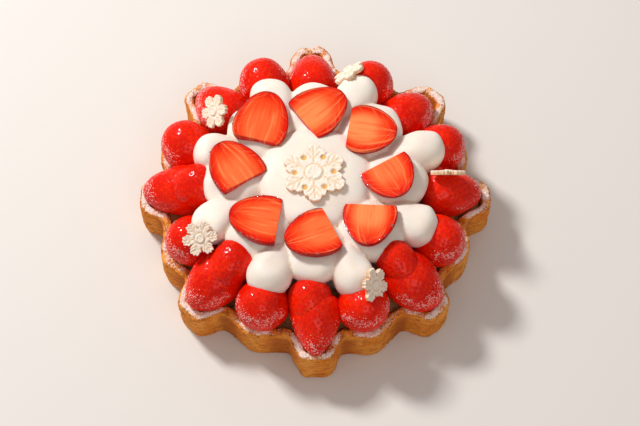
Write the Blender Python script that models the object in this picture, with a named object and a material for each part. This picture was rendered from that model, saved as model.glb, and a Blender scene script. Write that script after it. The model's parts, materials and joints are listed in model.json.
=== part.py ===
"""A strawberry tart with a scalloped crust, modelled at its real size.

The tart stands on z = 0 with its axis on +Z, and its front is at -Y. An azimuth is measured from the
front, in degrees, and grows towards +X. The crust has eight long lobes with a shallow bulge between each
two, and a whole strawberry lies in every lobe and every bulge. Piped cream fills the middle: a mound, a
ring of eight large drops that carry strawberry halves, and eight small drops outside them. Six moulded
snowflakes decorate the top.
"""

import math
from dataclasses import dataclass

import bmesh
import bpy
from mathutils import Matrix, Vector

MM = 0.001
GAP = 0.35 * MM
FULL_TURN = 2 * math.pi

# The crust: heights and wall, and its outline seen from above.
CRUST_STEPS = 120
CRUST_HEIGHT = 26 * MM
FLOOR_THICKNESS = 4 * MM
WALL_THICKNESS = 5.8 * MM
WALL_TAPER = 1.2 * MM
VALLEY_RADIUS = 86 * MM
LOBE_HALF_ANGLE = 7.9
LOBE_SQUARENESS = 4.6
BULGE_HALF_ANGLE = 7.5
RIM_UNEVENNESS = 0.4 * MM
# Azimuth of each lobe and how far its end lies from the axis.
LOBES = {
    0.5: 99.5 * MM,
    44.5: 99 * MM,
    91: 99 * MM,
    135: 100.5 * MM,
    181: 102.5 * MM,
    223.5: 102 * MM,
    269: 98 * MM,
    315: 99 * MM,
}
BULGES = {
    21.5: 91.8 * MM,
    68.5: 91.8 * MM,
    111.5: 92.3 * MM,
    158.5: 91.2 * MM,
    202.5: 92 * MM,
    248: 93.6 * MM,
    294: 92 * MM,
    337.5: 90.6 * MM,
}

# The baked filling, which shows between the strawberries.
FILLING_TOP = 18 * MM

# Berry meshes: segments round the axis, and rings along it.
BERRY_SEGMENTS = 12
BERRY_RINGS = 8
HALF_RINGS = 12
HALF_DEPTH = 0.8
TIP_FULLNESS = 0.42
STEM_FULLNESS = 0.34

# The cream.
CREAM_SEGMENTS = 12
CREAM_RINGS = 8
CREAM_SQUARENESS = 0.82
TRUNK_RADIUS = 54 * MM
TRUNK_TOP_RADIUS = 45 * MM
TRUNK_TOP = 47 * MM
MOUND_RADIUS = 32 * MM
MOUND_HEIGHT = 10 * MM
MOUND_TOP = 56 * MM
MOUND_SQUARENESS = 0.6

# The moulded snowflakes: each corner of an arm's edge is (angle from the arm, share of the radius).
ARMS = 6
LARGE_ARM = [(0, 1), (10, 0.96), (14, 0.84), (21, 0.86), (27, 0.76), (30, 0.7)]
SMALL_ARM = [(0, 1), (13, 0.95), (21, 0.8), (30, 0.6)]
HUB_RADIUS = 0.24
HUB_RISE = 0.5 * MM
HOLLOW_PLACE = 0.58
HOLLOW_RADIUS = 0.075
HOLLOW_DEPTH = 1 * MM


@dataclass(frozen=True)
class Berry:
    """A strawberry: the place of its middle, its size in millimetres, and how its axis points.

    A turn of 0 points the tip away from the tart's axis, and a positive turn swings it towards a larger
    azimuth. The dip is how far the tip points below the horizontal, and the lean how far the side away from
    the tart's axis is raised. The taper is 0 for an egg and grows for a cone.
    """

    name: str
    azimuth: float
    radius: float
    height: float
    width: float
    length: float
    turn: float = 0.0
    dip: float = 0.0
    taper: float = 0.28
    stem_cut: float = 0.0
    lean: float = 0.0


@dataclass(frozen=True)
class Drop:
    """A piped drop of cream: its middle and its half sizes, out from the axis, across and up.

    The tail draws its inner side towards the tart's axis by that share, and the crown is the share of its
    rise that its upper half keeps.
    """

    azimuth: float
    radius: float
    height: float
    reach: float
    across: float
    rise: float
    tail: float = 1.0
    crown: float = 1.0


@dataclass(frozen=True)
class Flake:
    """A snowflake: its middle, the way its face looks, its turn about that, and its size."""

    name: str
    azimuth: float
    radius: float
    height: float
    face_azimuth: float
    face_elevation: float
    spin: float
    size: float = 10.0
    thickness: float = 2.4
    arm: tuple = tuple(SMALL_ARM)


LOBE_BERRIES = [
    Berry("berry_lobe_0", 0.5, 79.8, 30.5, 28, 34.5, 0, 10, 0.42),
    Berry("berry_lobe_1", 44.5, 78, 31, 30, 35, 3, 12, 0.2),
    Berry("berry_lobe_2", 91, 76, 31, 28, 34, 0, 8, 0.25),
    Berry("berry_lobe_3", 134, 74.5, 30, 28.5, 32, 0, 8, 0.25),
    Berry("berry_lobe_4", 181, 77, 29, 27.5, 32.5, 0, 8, 0.25),
    Berry("berry_lobe_5", 224, 77.5, 30, 28.5, 34, 0, 9, 0.25),
    Berry("berry_lobe_6", 268, 78.5, 30.5, 28, 36, 0, 10, 0.28),
    Berry("berry_lobe_7", 315, 78, 31, 29.5, 36, 0, 12, 0.24),
]
BULGE_BERRIES = [
    Berry("berry_bulge_0", 20.5, 76.5, 35.5, 28.5, 30, 0, -50, 0.1),
    Berry("berry_bulge_1", 65.5, 75.5, 35.5, 29, 30, 0, -45, 0.1),
    Berry("berry_bulge_2", 111, 75.5, 35.5, 28, 29.5, 0, -45, 0.1),
    Berry("berry_bulge_3", 155.5, 75.5, 35, 28, 29.5, 0, -45, 0.1),
    Berry("berry_bulge_4", 202.5, 76, 35, 29, 30, 0, -45, 0.1),
    Berry("berry_bulge_5", 248, 77.5, 35.5, 29, 30, 0, -55, 0.1),
    Berry("berry_bulge_6", 294.5, 75, 35, 28, 29, 0, -45, 0.1),
    Berry("berry_bulge_7", 338, 76, 35.2, 29, 30, 0, -50, 0.1),
]
UPPER_BERRIES = [
    Berry("berry_upper_0", 358, 70, 37, 24, 25, 0, 8, 0.15),
    Berry("berry_upper_1", 43.5, 68, 41.5, 21, 28, 0, 14, 0.2),
    Berry("berry_upper_6", 269, 66, 39, 25, 28, 0, 10, 0.1),
    Berry("berry_upper_7", 317, 67.5, 41, 23.5, 28, 0, 14, 0.15),
]
HALVES = [
    Berry("half_0", 359, 38.3, 57.5, 30, 32, -65, 0, 0.24, 11.5, 8),
    Berry("half_1", 44.5, 42.5, 57.5, 29.5, 31, -50, 0, 0.24, 10, 7),
    Berry("half_2", 87, 41.5, 57.5, 29, 29, -59, 0, 0.24, 9, 7),
    Berry("half_3", 131, 41, 57.3, 29.5, 30, -50, 0, 0.24, 12, 4),
    Berry("half_4", 176, 40, 57.3, 29.5, 34, -49, 0, 0.24, 11.5, 3),
    Berry("half_5", 220.3, 44.6, 57.3, 30.5, 35, -54, 0, 0.24, 13.5, 3),
    Berry("half_6", 264.8, 44, 57.3, 30, 33, -52, 0, 0.24, 11, 5),
    Berry("half_7", 313.6, 41.5, 57.5, 30.5, 32.5, -52, 0, 0.24, 11, 7),
]
LARGE_DROPS = [
    Drop(azimuth, 45, 46.5, 17.5, 17.5, 10.5, 1.2, 0.74) for azimuth in range(0, 360, 45)
]
SMALL_DROPS = [
    Drop(20, 62, 45, 12, 11, 10, 1.7),
    Drop(64, 62.5, 45, 12, 12, 10, 1.7),
    Drop(108, 63, 45, 12.5, 12, 11, 1.7),
    Drop(157, 61, 45, 12, 12, 10.5, 1.7),
    Drop(204.5, 58.5, 45, 12, 12, 10.5, 1.7),
    Drop(252, 58.5, 45, 12, 11.5, 10.5, 1.7),
    Drop(294.6, 60.5, 45, 12, 12, 10, 1.7),
    Drop(337, 63, 45, 12, 12, 10, 1.7),
]
FLAKES = [
    Flake("snowflake_large", 0, 1, 57.5, 0, 90, 32, 18.5, 2.2, tuple(LARGE_ARM)),
    Flake("snowflake_0", 26, 74, 51, 68, 35, 0),
    Flake("snowflake_2", 93, 74, 49, 180, 28, 10),
    Flake("snowflake_3", 164, 71, 50, 225, 42, 0),
    Flake("snowflake_5", 233, 70, 51, 295, 40, 0),
    Flake("snowflake_6", 302, 73, 52, 0, 62, 10),
]


def on_tart(azimuth, radius, height):
    """The point at an azimuth in degrees, a distance from the axis and a height."""
    angle = math.radians(azimuth)
    return Vector((radius * math.sin(angle), -radius * math.cos(angle), height))


def turned_by(angle, other):
    """The angle from one azimuth to another, in degrees, between -180 and 180."""
    return (angle - other + 180) % 360 - 180


def outline_radius(azimuth):
    """How far the crust's outer rim lies from the axis at an azimuth."""
    radius = VALLEY_RADIUS
    for centre, reach in LOBES.items():
        share = abs(turned_by(azimuth, centre)) / LOBE_HALF_ANGLE
        radius += (reach - VALLEY_RADIUS) * math.exp(-(share**LOBE_SQUARENESS))
    for centre, reach in BULGES.items():
        share = turned_by(azimuth, centre) / BULGE_HALF_ANGLE
        radius += (reach - VALLEY_RADIUS) * math.exp(-(share**2))
    return radius


def outline_point(azimuth):
    return on_tart(azimuth, outline_radius(azimuth), 0)


def inset_point(azimuth, inset):
    """The point of the outline at an azimuth, moved in at right angles to the outline."""
    step = 0.5
    along = outline_point(azimuth + step) - outline_point(azimuth - step)
    inwards = Vector((-along.y, along.x, 0)).normalized()
    return outline_point(azimuth) + inwards * inset


def rim_wander(azimuth):
    """How far the rim rises or sinks at an azimuth, as hand-pressed pastry does."""
    angle = math.radians(azimuth)
    return RIM_UNEVENNESS * (0.6 * math.sin(3 * angle + 0.7) + 0.4 * math.sin(7 * angle + 2.1))


def new_collection(name):
    made = bpy.data.collections.new(name)
    bpy.context.scene.collection.children.link(made)
    return made


def new_object(name, builder, collection, look=None):
    """Makes an object from a bmesh, with its normals facing out."""
    bmesh.ops.recalc_face_normals(builder, faces=builder.faces)
    mesh = bpy.data.meshes.new(name)
    builder.to_mesh(mesh)
    builder.free()
    obj = bpy.data.objects.new(name, mesh)
    collection.objects.link(obj)
    if look is not None:
        mesh.materials.append(look)
    return obj


def smooth(obj, angle):
    obj.data.shade_smooth()
    obj.data.set_sharp_from_angle(angle=math.radians(angle))
    return obj


def combine(target, pieces, operation):
    """Joins the pieces to the target or cuts them out of it, then removes the pieces."""
    modifier = target.modifiers.new(operation.lower(), "BOOLEAN")
    modifier.operation = operation
    modifier.operand_type = "COLLECTION"
    modifier.solver = "MANIFOLD"
    modifier.collection = pieces
    depsgraph = bpy.context.evaluated_depsgraph_get()
    result = bpy.data.meshes.new_from_object(target.evaluated_get(depsgraph))
    target.modifiers.clear()
    target.data = result
    for piece in list(pieces.objects):
        bpy.data.objects.remove(piece, do_unlink=True)
    bpy.data.collections.remove(pieces)
    return target


def fill_openings(builder):
    bmesh.ops.holes_fill(builder, edges=[edge for edge in builder.edges if edge.is_boundary])


def linked_points(start):
    """Every vertex joined to a vertex by edges."""
    found = {start}
    waiting = [start]
    while waiting:
        for edge in waiting.pop().link_edges:
            for vert in edge.verts:
                if vert not in found:
                    found.add(vert)
                    waiting.append(vert)
    return found


def drop_scraps(obj):
    """Keeps only the body with the most vertices."""
    builder = bmesh.new()
    builder.from_mesh(obj.data)
    left = set(builder.verts)
    bodies = []
    while left:
        body = linked_points(next(iter(left)))
        left -= body
        bodies.append(body)
    bodies.sort(key=len, reverse=True)
    for scrap in bodies[1:]:
        bmesh.ops.delete(builder, geom=list(scrap), context="VERTS")
    builder.to_mesh(obj.data)
    builder.free()
    return obj


def material(name, colour, roughness):
    """A Principled material with one colour."""
    made = bpy.data.materials.new(name)
    made.use_nodes = True
    shader = made.node_tree.nodes["Principled BSDF"]
    shader.inputs["Base Color"].default_value = (*colour, 1)
    shader.inputs["Roughness"].default_value = roughness
    made.diffuse_color = (*colour, 1)
    return made


def spun_profile(profile):
    """A solid turned from a profile of (distance inside the rim, height), shaped to the outline."""
    builder = bmesh.new()
    rim_radius = max(LOBES.values())
    corners = [builder.verts.new((rim_radius - inset, 0, height)) for inset, height in profile]
    edges = [builder.edges.new(pair) for pair in zip(corners, corners[1:])]
    bmesh.ops.spin(
        builder,
        geom=corners + edges,
        axis=(0, 0, 1),
        cent=(0, 0, 0),
        angle=FULL_TURN,
        steps=CRUST_STEPS,
        use_merge=True,
    )
    bmesh.ops.remove_doubles(builder, verts=builder.verts, dist=0.01 * MM)
    fill_openings(builder)
    for vert in builder.verts:
        azimuth = math.degrees(math.atan2(vert.co.x, -vert.co.y))
        inset = rim_radius - vert.co.xy.length
        lift = rim_wander(azimuth) * vert.co.z / CRUST_HEIGHT
        vert.co = inset_point(azimuth, inset) + Vector((0, 0, vert.co.z + lift))
    return builder


def crust_builder(grow=0.0):
    """The pastry shell: a floor, a wall that leans out a little, and a rounded rim."""
    wall = WALL_THICKNESS + grow
    top = CRUST_HEIGHT + grow
    profile = [
        (WALL_TAPER + 1 * MM, 0),
        (WALL_TAPER - grow, 1 * MM),
        (-grow, top - 2.4 * MM),
        (0.8 * MM - grow, top - 0.7 * MM),
        (2.4 * MM, top),
        (wall - 1.2 * MM, top - 0.5 * MM),
        (wall, top - 2.2 * MM),
        (wall + 1 * MM, FLOOR_THICKNESS + grow),
    ]
    return spun_profile(profile)


def filling_builder():
    """The baked filling, up to a little under the rim."""
    edge = WALL_THICKNESS + GAP
    profile = [
        (edge + 1 * MM, FLOOR_THICKNESS + GAP),
        (edge + 0.4 * MM, FILLING_TOP - 0.4 * MM),
    ]
    return spun_profile(profile)


def berry_middle(berry):
    return on_tart(berry.azimuth, berry.radius * MM, berry.height * MM)


def berry_frame(berry):
    """The matrix that takes a berry's own frame, with its tip on +X, to its place."""
    facing = Matrix.Rotation(math.radians(berry.azimuth + berry.turn - 90), 4, "Z")
    dipped = Matrix.Rotation(math.radians(berry.dip), 4, "Y")
    outwards = on_tart(berry.azimuth, 1, 0)
    leaning = Matrix.Rotation(math.radians(berry.lean), 4, outwards.cross(Vector((0, 0, 1))))
    return Matrix.Translation(berry_middle(berry)) @ leaning @ facing @ dipped


def sphere_builder(segments, rings):
    builder = bmesh.new()
    bmesh.ops.create_uvsphere(builder, u_segments=segments, v_segments=rings, radius=1)
    return builder


def berry_radius(berry, along):
    """The share of a berry's greatest radius at a place between its stem (-1) and its tip (1)."""
    widest = -berry.taper / 2
    full = (1 - widest**2) ** STEM_FULLNESS * (1 - berry.taper * widest)
    fullness = STEM_FULLNESS if along < 0 else TIP_FULLNESS
    return max(1 - along**2, 0) ** fullness * (1 - berry.taper * along) / full


def berry_builder(berry, rings, grow=0.0):
    """A berry drawn out along +X from a sphere, fullest near its stem end."""
    builder = sphere_builder(BERRY_SEGMENTS, rings)
    half_width = berry.width * MM / 2 + grow
    half_length = berry.length * MM / 2 + grow
    for vert in builder.verts:
        along = vert.co.z
        across = vert.co.xy.normalized() * half_width * berry_radius(berry, along)
        vert.co = Vector((half_length * along, across.x, across.y))
    return builder


def cut_across(builder, point, outwards):
    """Removes what lies beyond a plane and closes the cut."""
    bmesh.ops.bisect_plane(
        builder,
        geom=builder.verts[:] + builder.edges[:] + builder.faces[:],
        dist=0.001 * MM,
        plane_co=point,
        plane_no=outwards,
        clear_outer=True,
    )
    fill_openings(builder)


def whole_berry(berry, grow=0.0):
    """A whole berry in its place, flat where it rests on the filling."""
    builder = berry_builder(berry, BERRY_RINGS, grow)
    bmesh.ops.transform(builder, matrix=berry_frame(berry), verts=builder.verts)
    cut_across(builder, Vector((0, 0, FILLING_TOP + GAP - grow)), Vector((0, 0, -1)))
    return builder


def half_berry(berry, grow=0.0, lid=0.0):
    """Half a berry in its place with the cut face up. A lid draws the face up by that much."""
    builder = berry_builder(berry, HALF_RINGS, grow)
    cut_across(builder, Vector((-berry.stem_cut * MM - grow, 0, 0)), Vector((-1, 0, 0)))
    cut_across(builder, Vector((0, 0, grow)), Vector((0, 0, 1)))
    for vert in builder.verts:
        if vert.co.z > grow - 0.01 * MM:
            vert.co.z += lid
        vert.co.z *= HALF_DEPTH
    bmesh.ops.transform(builder, matrix=berry_frame(berry), verts=builder.verts)
    return builder


def squared_sphere(segments, rings, squareness):
    """A unit sphere whose sides and top are flattened; a squareness of 1 leaves it round."""
    builder = sphere_builder(segments, rings)
    for vert in builder.verts:
        outwards = vert.co.xy.normalized() * vert.co.xy.length**squareness
        upwards = math.copysign(abs(vert.co.z) ** squareness, vert.co.z)
        vert.co = Vector((outwards.x, outwards.y, upwards))
    return builder


def drop_builder(drop):
    builder = squared_sphere(CREAM_SEGMENTS, CREAM_RINGS, CREAM_SQUARENESS)
    for vert in builder.verts:
        reach = drop.reach * (drop.tail if vert.co.x < 0 else 1)
        rise = drop.rise * (drop.crown if vert.co.z > 0 else 1)
        vert.co = Vector((vert.co.x * reach, vert.co.y * drop.across, vert.co.z * rise)) * MM
    facing = Matrix.Rotation(math.radians(drop.azimuth - 90), 4, "Z")
    middle = on_tart(drop.azimuth, drop.radius * MM, drop.height * MM)
    matrix = Matrix.Translation(middle) @ facing
    bmesh.ops.transform(builder, matrix=matrix, verts=builder.verts)
    return builder


def mound_builder():
    """The smooth flat mound in the middle of the cream."""
    builder = squared_sphere(20, 8, MOUND_SQUARENESS)
    size = Matrix.Diagonal((MOUND_RADIUS, MOUND_RADIUS, MOUND_HEIGHT, 1))
    placed = Matrix.Translation((0, 0, MOUND_TOP - MOUND_HEIGHT)) @ size
    bmesh.ops.transform(builder, matrix=placed, verts=builder.verts)
    return builder


def trunk_builder():
    """The cream's foot, on the filling and behind the strawberries."""
    builder = bmesh.new()
    bmesh.ops.create_cone(
        builder,
        cap_ends=True,
        segments=20,
        radius1=TRUNK_RADIUS,
        radius2=TRUNK_TOP_RADIUS,
        depth=TRUNK_TOP - FILLING_TOP - GAP,
    )
    middle = Vector((0, 0, (TRUNK_TOP + FILLING_TOP + GAP) / 2))
    bmesh.ops.translate(builder, vec=middle, verts=builder.verts)
    return builder


def flake_edge(flake):
    """The corners of a snowflake's edge, arm by arm."""
    one_side = [(-angle, share) for angle, share in reversed(flake.arm[1:-1])]
    edge = []
    for arm in range(ARMS):
        for angle, share in one_side + list(flake.arm):
            turn = math.radians(arm * 360 / ARMS + angle)
            edge.append(Vector((math.cos(turn), math.sin(turn), 0)) * flake.size * share * MM)
    return edge


def flake_matrix(flake):
    """The matrix that lays a flake's face, which looks along its own +Z, in its place."""
    spun = Matrix.Rotation(math.radians(flake.spin), 4, "Z")
    tipped = Matrix.Rotation(math.radians(90 - flake.face_elevation), 4, "X")
    facing = Matrix.Rotation(math.radians(flake.face_azimuth), 4, "Z")
    middle = on_tart(flake.azimuth, flake.radius * MM, flake.height * MM)
    return Matrix.Translation(middle) @ facing @ tipped @ spun


def flake_builder(flake, grow=0.0):
    """A flat six-armed star with a raised hub."""
    curve = bpy.data.curves.new(flake.name, "CURVE")
    curve.dimensions = "2D"
    curve.fill_mode = "BOTH"
    curve.extrude = flake.thickness / 2 * MM + grow
    curve.offset = grow
    spline = curve.splines.new("POLY")
    edge = flake_edge(flake)
    spline.points.add(len(edge) - 1)
    for point, corner in zip(spline.points, edge):
        point.co = (*corner, 1)
    spline.use_cyclic_u = True
    holder = bpy.data.objects.new(flake.name, curve)
    mesh = bpy.data.meshes.new_from_object(holder)
    builder = bmesh.new()
    builder.from_mesh(mesh)
    bpy.data.objects.remove(holder, do_unlink=True)
    bpy.data.curves.remove(curve)
    bpy.data.meshes.remove(mesh)
    bmesh.ops.remove_doubles(builder, verts=builder.verts, dist=0.01 * MM)
    bmesh.ops.transform(builder, matrix=flake_matrix(flake), verts=builder.verts)
    return builder


def hub_builder(flake):
    """The raised boss in the middle of a snowflake."""
    builder = bmesh.new()
    depth = flake.thickness / 2 * MM + HUB_RISE
    radius = flake.size * HUB_RADIUS * MM
    bmesh.ops.create_cone(
        builder,
        cap_ends=True,
        segments=12,
        radius1=radius,
        radius2=radius * 0.85,
        depth=depth,
    )
    raised = flake_matrix(flake) @ Matrix.Translation((0, 0, depth / 2))
    bmesh.ops.transform(builder, matrix=raised, verts=builder.verts)
    return builder


def hollow_builder(flake, arm):
    """One of the small round hollows of the large snowflake, between two arms."""
    builder = bmesh.new()
    radius = flake.size * HOLLOW_RADIUS * MM
    bmesh.ops.create_cone(
        builder,
        cap_ends=True,
        segments=6,
        radius1=radius * 0.8,
        radius2=radius,
        depth=2 * HOLLOW_DEPTH,
    )
    turn = Matrix.Rotation(math.radians((arm + 0.5) * 360 / ARMS), 4, "Z")
    place = Matrix.Translation((flake.size * HOLLOW_PLACE * MM, 0, flake.thickness / 2 * MM))
    bmesh.ops.transform(builder, matrix=flake_matrix(flake) @ turn @ place, verts=builder.verts)
    return builder


def flake_middle(flake):
    return on_tart(flake.azimuth, flake.radius * MM, flake.height * MM)


def near_berries(berry, others):
    """The other berries that are close enough to touch this one."""
    middle = berry_middle(berry)
    return [
        other
        for other in others
        if (berry_middle(other) - middle).length < (berry.length + other.length) / 2 * MM
    ]


def near_flakes(berry):
    """The snowflakes that are close enough to touch this berry."""
    middle = berry_middle(berry)
    return [
        flake
        for flake in FLAKES
        if (flake_middle(flake) - middle).length < (berry.length / 2 + flake.size) * MM
    ]


def carve(target, builders):
    """Cuts shapes out of the target and drops what comes loose."""
    if not builders:
        return target
    cutters = new_collection("cutters")
    for index, builder in enumerate(builders):
        new_object(f"cutter_{index}", builder, cutters)
    return drop_scraps(combine(target, cutters, "DIFFERENCE"))


def make_berries(tart, red, cut_red):
    """All the strawberries, each with room for those laid before it."""
    for berry in HALVES:
        smooth(new_object(berry.name, half_berry(berry), tart, cut_red), 50)
    laid = []
    for berry in LOBE_BERRIES + BULGE_BERRIES + UPPER_BERRIES:
        obj = new_object(berry.name, whole_berry(berry), tart, red)
        room = [crust_builder(GAP)]
        room += [whole_berry(other, GAP) for other in near_berries(berry, laid)]
        room += [half_berry(other, GAP, 10 * MM) for other in near_berries(berry, HALVES)]
        room += [flake_builder(flake, GAP) for flake in near_flakes(berry)]
        smooth(carve(obj, room), 50)
        laid.append(berry)


def make_flakes(tart, sugar):
    for flake in FLAKES:
        obj = new_object(flake.name, flake_builder(flake), tart, sugar)
        hub = new_collection("hub")
        new_object("boss", hub_builder(flake), hub)
        combine(obj, hub, "UNION")
        if flake.name == "snowflake_large":
            carve(obj, [hollow_builder(flake, arm) for arm in range(ARMS)])


def make_cream(tart, white):
    """The cream as one solid, with room for every strawberry and snowflake."""
    obj = new_object("cream", trunk_builder(), tart, white)
    pieces = new_collection("pieces")
    new_object("mound", mound_builder(), pieces)
    for index, drop in enumerate(LARGE_DROPS + SMALL_DROPS):
        new_object(f"drop_{index}", drop_builder(drop), pieces)
    combine(obj, pieces, "UNION")
    whole = LOBE_BERRIES + BULGE_BERRIES + UPPER_BERRIES
    room = [whole_berry(berry, GAP) for berry in whole]
    room += [half_berry(berry, GAP, 10 * MM) for berry in HALVES]
    room += [flake_builder(flake, GAP) for flake in FLAKES]
    smooth(carve(obj, room), 60)


def main():
    for obj in list(bpy.data.objects):
        bpy.data.objects.remove(obj, do_unlink=True)
    tart = new_collection("strawberry_tart")
    pastry = material("pastry", (0.72, 0.42, 0.17), 0.7)
    baked = material("baked_filling", (0.85, 0.62, 0.33), 0.6)
    white = material("whipped_cream", (0.98, 0.93, 0.87), 0.5)
    red = material("strawberry", (0.75, 0.03, 0.02), 0.2)
    cut_red = material("cut_strawberry", (0.9, 0.25, 0.1), 0.3)
    sugar = material("sugar_paste", (0.97, 0.92, 0.82), 0.6)
    smooth(new_object("crust", crust_builder(), tart, pastry), 50)
    smooth(new_object("filling", filling_builder(), tart, baked), 50)
    make_berries(tart, red, cut_red)
    make_flakes(tart, sugar)
    make_cream(tart, white)


main()
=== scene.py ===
"""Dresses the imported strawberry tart: pastry, filling, strawberries, piped cream, snowflakes and sugar.

The tart stands on z = 0 with its axis on +Z and its front at -Y. An azimuth is in degrees, measured from
the front towards +X. Fields are in millimetres and degrees, and meshes are in metres.
"""

import json
import logging
import math
import sys
from collections.abc import Callable, Iterable
from dataclasses import dataclass, field
from enum import Enum
from functools import partial

import bpy
import numpy as np
from mathutils import Matrix, Vector
from mathutils.bvhtree import BVHTree
from mathutils.kdtree import KDTree

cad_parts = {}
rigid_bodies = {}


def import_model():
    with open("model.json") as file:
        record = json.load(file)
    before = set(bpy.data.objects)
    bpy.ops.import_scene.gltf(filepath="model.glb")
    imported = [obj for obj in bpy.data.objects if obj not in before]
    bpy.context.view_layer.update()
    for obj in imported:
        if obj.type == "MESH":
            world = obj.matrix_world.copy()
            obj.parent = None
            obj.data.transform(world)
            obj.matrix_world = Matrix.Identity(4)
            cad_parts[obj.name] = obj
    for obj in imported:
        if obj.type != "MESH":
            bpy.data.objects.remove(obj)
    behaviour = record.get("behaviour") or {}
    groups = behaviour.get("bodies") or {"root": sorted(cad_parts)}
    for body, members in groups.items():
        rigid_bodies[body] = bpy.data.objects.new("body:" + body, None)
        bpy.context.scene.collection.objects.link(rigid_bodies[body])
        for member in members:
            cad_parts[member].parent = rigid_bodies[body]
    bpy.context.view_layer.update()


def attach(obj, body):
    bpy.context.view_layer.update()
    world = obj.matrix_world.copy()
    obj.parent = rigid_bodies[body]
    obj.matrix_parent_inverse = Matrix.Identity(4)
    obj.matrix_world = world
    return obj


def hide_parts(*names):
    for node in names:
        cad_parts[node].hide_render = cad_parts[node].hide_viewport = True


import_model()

MM = 0.001
LOG = logging.getLogger("tart")

WELD_DISTANCE = 0.002 * MM
LEAST_LENGTH = 1e-9
FLAT = 1e-7

Pair = tuple[float, float]
Triple = tuple[float, float, float]
Colour = Triple
Object = bpy.types.Object
Socket = bpy.types.NodeSocket
Material = bpy.types.Material
Place = Callable[[np.ndarray, np.ndarray], np.ndarray]


class Joining(Enum):
    """What a Boolean does with the other meshes."""

    JOIN = "UNION"
    CUT = "DIFFERENCE"


def on_tart(azimuth: float, radius: float, height: float) -> Vector:
    """Finds a point of the tart.

    Args:
        azimuth: Its azimuth in degrees.
        radius: Its distance from the axis in millimetres.
        height: Its height in millimetres.

    Returns:
        The point in metres.
    """
    angle = math.radians(azimuth)
    return Vector((radius * math.sin(angle), -radius * math.cos(angle), height)) * MM


def eased(low: float, high: float, values: np.ndarray) -> np.ndarray:
    """Turns values into shares that ease from 0 at low to 1 at high.

    Args:
        low: The value that gives 0.
        high: The value that gives 1, which may be the smaller one.
        values: The values.

    Returns:
        One share for each value.
    """
    share = np.clip((values - low) / (high - low), 0, 1)
    return share * share * (3 - 2 * share)


def placed(points: np.ndarray, matrix: Matrix) -> np.ndarray:
    """Moves points by a matrix.

    Args:
        points: The points, one in each row.
        matrix: A matrix of four rows.

    Returns:
        The moved points.
    """
    rows = np.array(matrix)
    return points @ rows[:3, :3].T + rows[:3, 3]


def select_only(*objects: Object) -> None:
    """Selects these objects and no others, and makes the first one active.

    Args:
        objects: The objects to select.
    """
    bpy.ops.object.select_all(action="DESELECT")
    for obj in objects:
        obj.select_set(True)
    bpy.context.view_layer.objects.active = objects[0]


def add_primitive(name: str, add: Callable[..., set[str]], **sizes: object) -> Object:
    """Adds a primitive, with nothing else selected.

    Args:
        name: The name for the object and its mesh.
        add: The operator that adds it.
        sizes: The operator's settings.

    Returns:
        The object.
    """
    bpy.ops.object.select_all(action="DESELECT")
    add(**sizes)
    obj = bpy.context.active_object
    obj.name = name
    obj.data.name = name
    return obj


def edit(obj: Object, *operations: Callable[[], set[str]]) -> None:
    """Runs operators in edit mode, each on the whole mesh.

    Args:
        obj: A mesh object.
        operations: The operators, with their settings.
    """
    select_only(obj)
    bpy.ops.object.mode_set(mode="EDIT")
    for operation in operations:
        bpy.ops.mesh.select_all(action="SELECT")
        operation()
    bpy.ops.object.mode_set(mode="OBJECT")


def points_of(obj: Object) -> np.ndarray:
    """Reads the places of a mesh's vertices.

    Args:
        obj: A mesh object.

    Returns:
        One row for each vertex.
    """
    flat = np.empty(len(obj.data.vertices) * 3, np.float32)
    obj.data.vertices.foreach_get("co", flat)
    return flat.reshape(-1, 3).astype(float)


def move_points(obj: Object, points: np.ndarray) -> None:
    """Puts a mesh's vertices at new places.

    Args:
        obj: A mesh object.
        points: One row for each vertex.
    """
    obj.data.vertices.foreach_set("co", points.astype(np.float32).ravel())
    obj.data.update()


def normals_of(obj: Object) -> np.ndarray:
    """Reads the normals of a mesh's vertices.

    Args:
        obj: A mesh object.

    Returns:
        One row for each vertex.
    """
    flat = np.empty(len(obj.data.vertices) * 3, np.float32)
    obj.data.vertex_normals.foreach_get("vector", flat)
    return flat.reshape(-1, 3).astype(float)


def keep_reading(obj: Object, name: str, values: np.ndarray) -> None:
    """Stores one value for each vertex, for a material to read.

    Args:
        obj: A mesh object.
        name: The attribute's name.
        values: The values.
    """
    readings = obj.data.attributes
    kept = readings.get(name) or readings.new(name, "FLOAT", "POINT")
    kept.data.foreach_set("value", values.astype(np.float32))


def reading_of(obj: Object, name: str) -> np.ndarray:
    """Reads back the values that keep_reading stored.

    Args:
        obj: A mesh object.
        name: The attribute's name.

    Returns:
        One value for each vertex.
    """
    values = np.empty(len(obj.data.vertices), np.float32)
    obj.data.attributes[name].data.foreach_get("value", values)
    return values


def apply_modifier(obj: Object, kind: str, **settings: object) -> None:
    """Adds a modifier to a mesh and applies it.

    Args:
        obj: A mesh object.
        kind: The modifier's type.
        settings: Its settings by name.
    """
    select_only(obj)
    modifier = obj.modifiers.new(kind.lower(), kind)
    for name, value in settings.items():
        setattr(modifier, name, value)
    bpy.ops.object.modifier_apply(modifier=modifier.name)


def is_closed(obj: Object) -> bool:
    """Tells whether every edge of a mesh has two faces.

    Args:
        obj: A mesh object.

    Returns:
        Whether it has no gap and no stray face.
    """
    edges = np.empty(len(obj.data.loops), np.int32)
    obj.data.loops.foreach_get("edge_index", edges)
    return bool((np.bincount(edges, minlength=len(obj.data.edges)) == 2).all())


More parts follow.
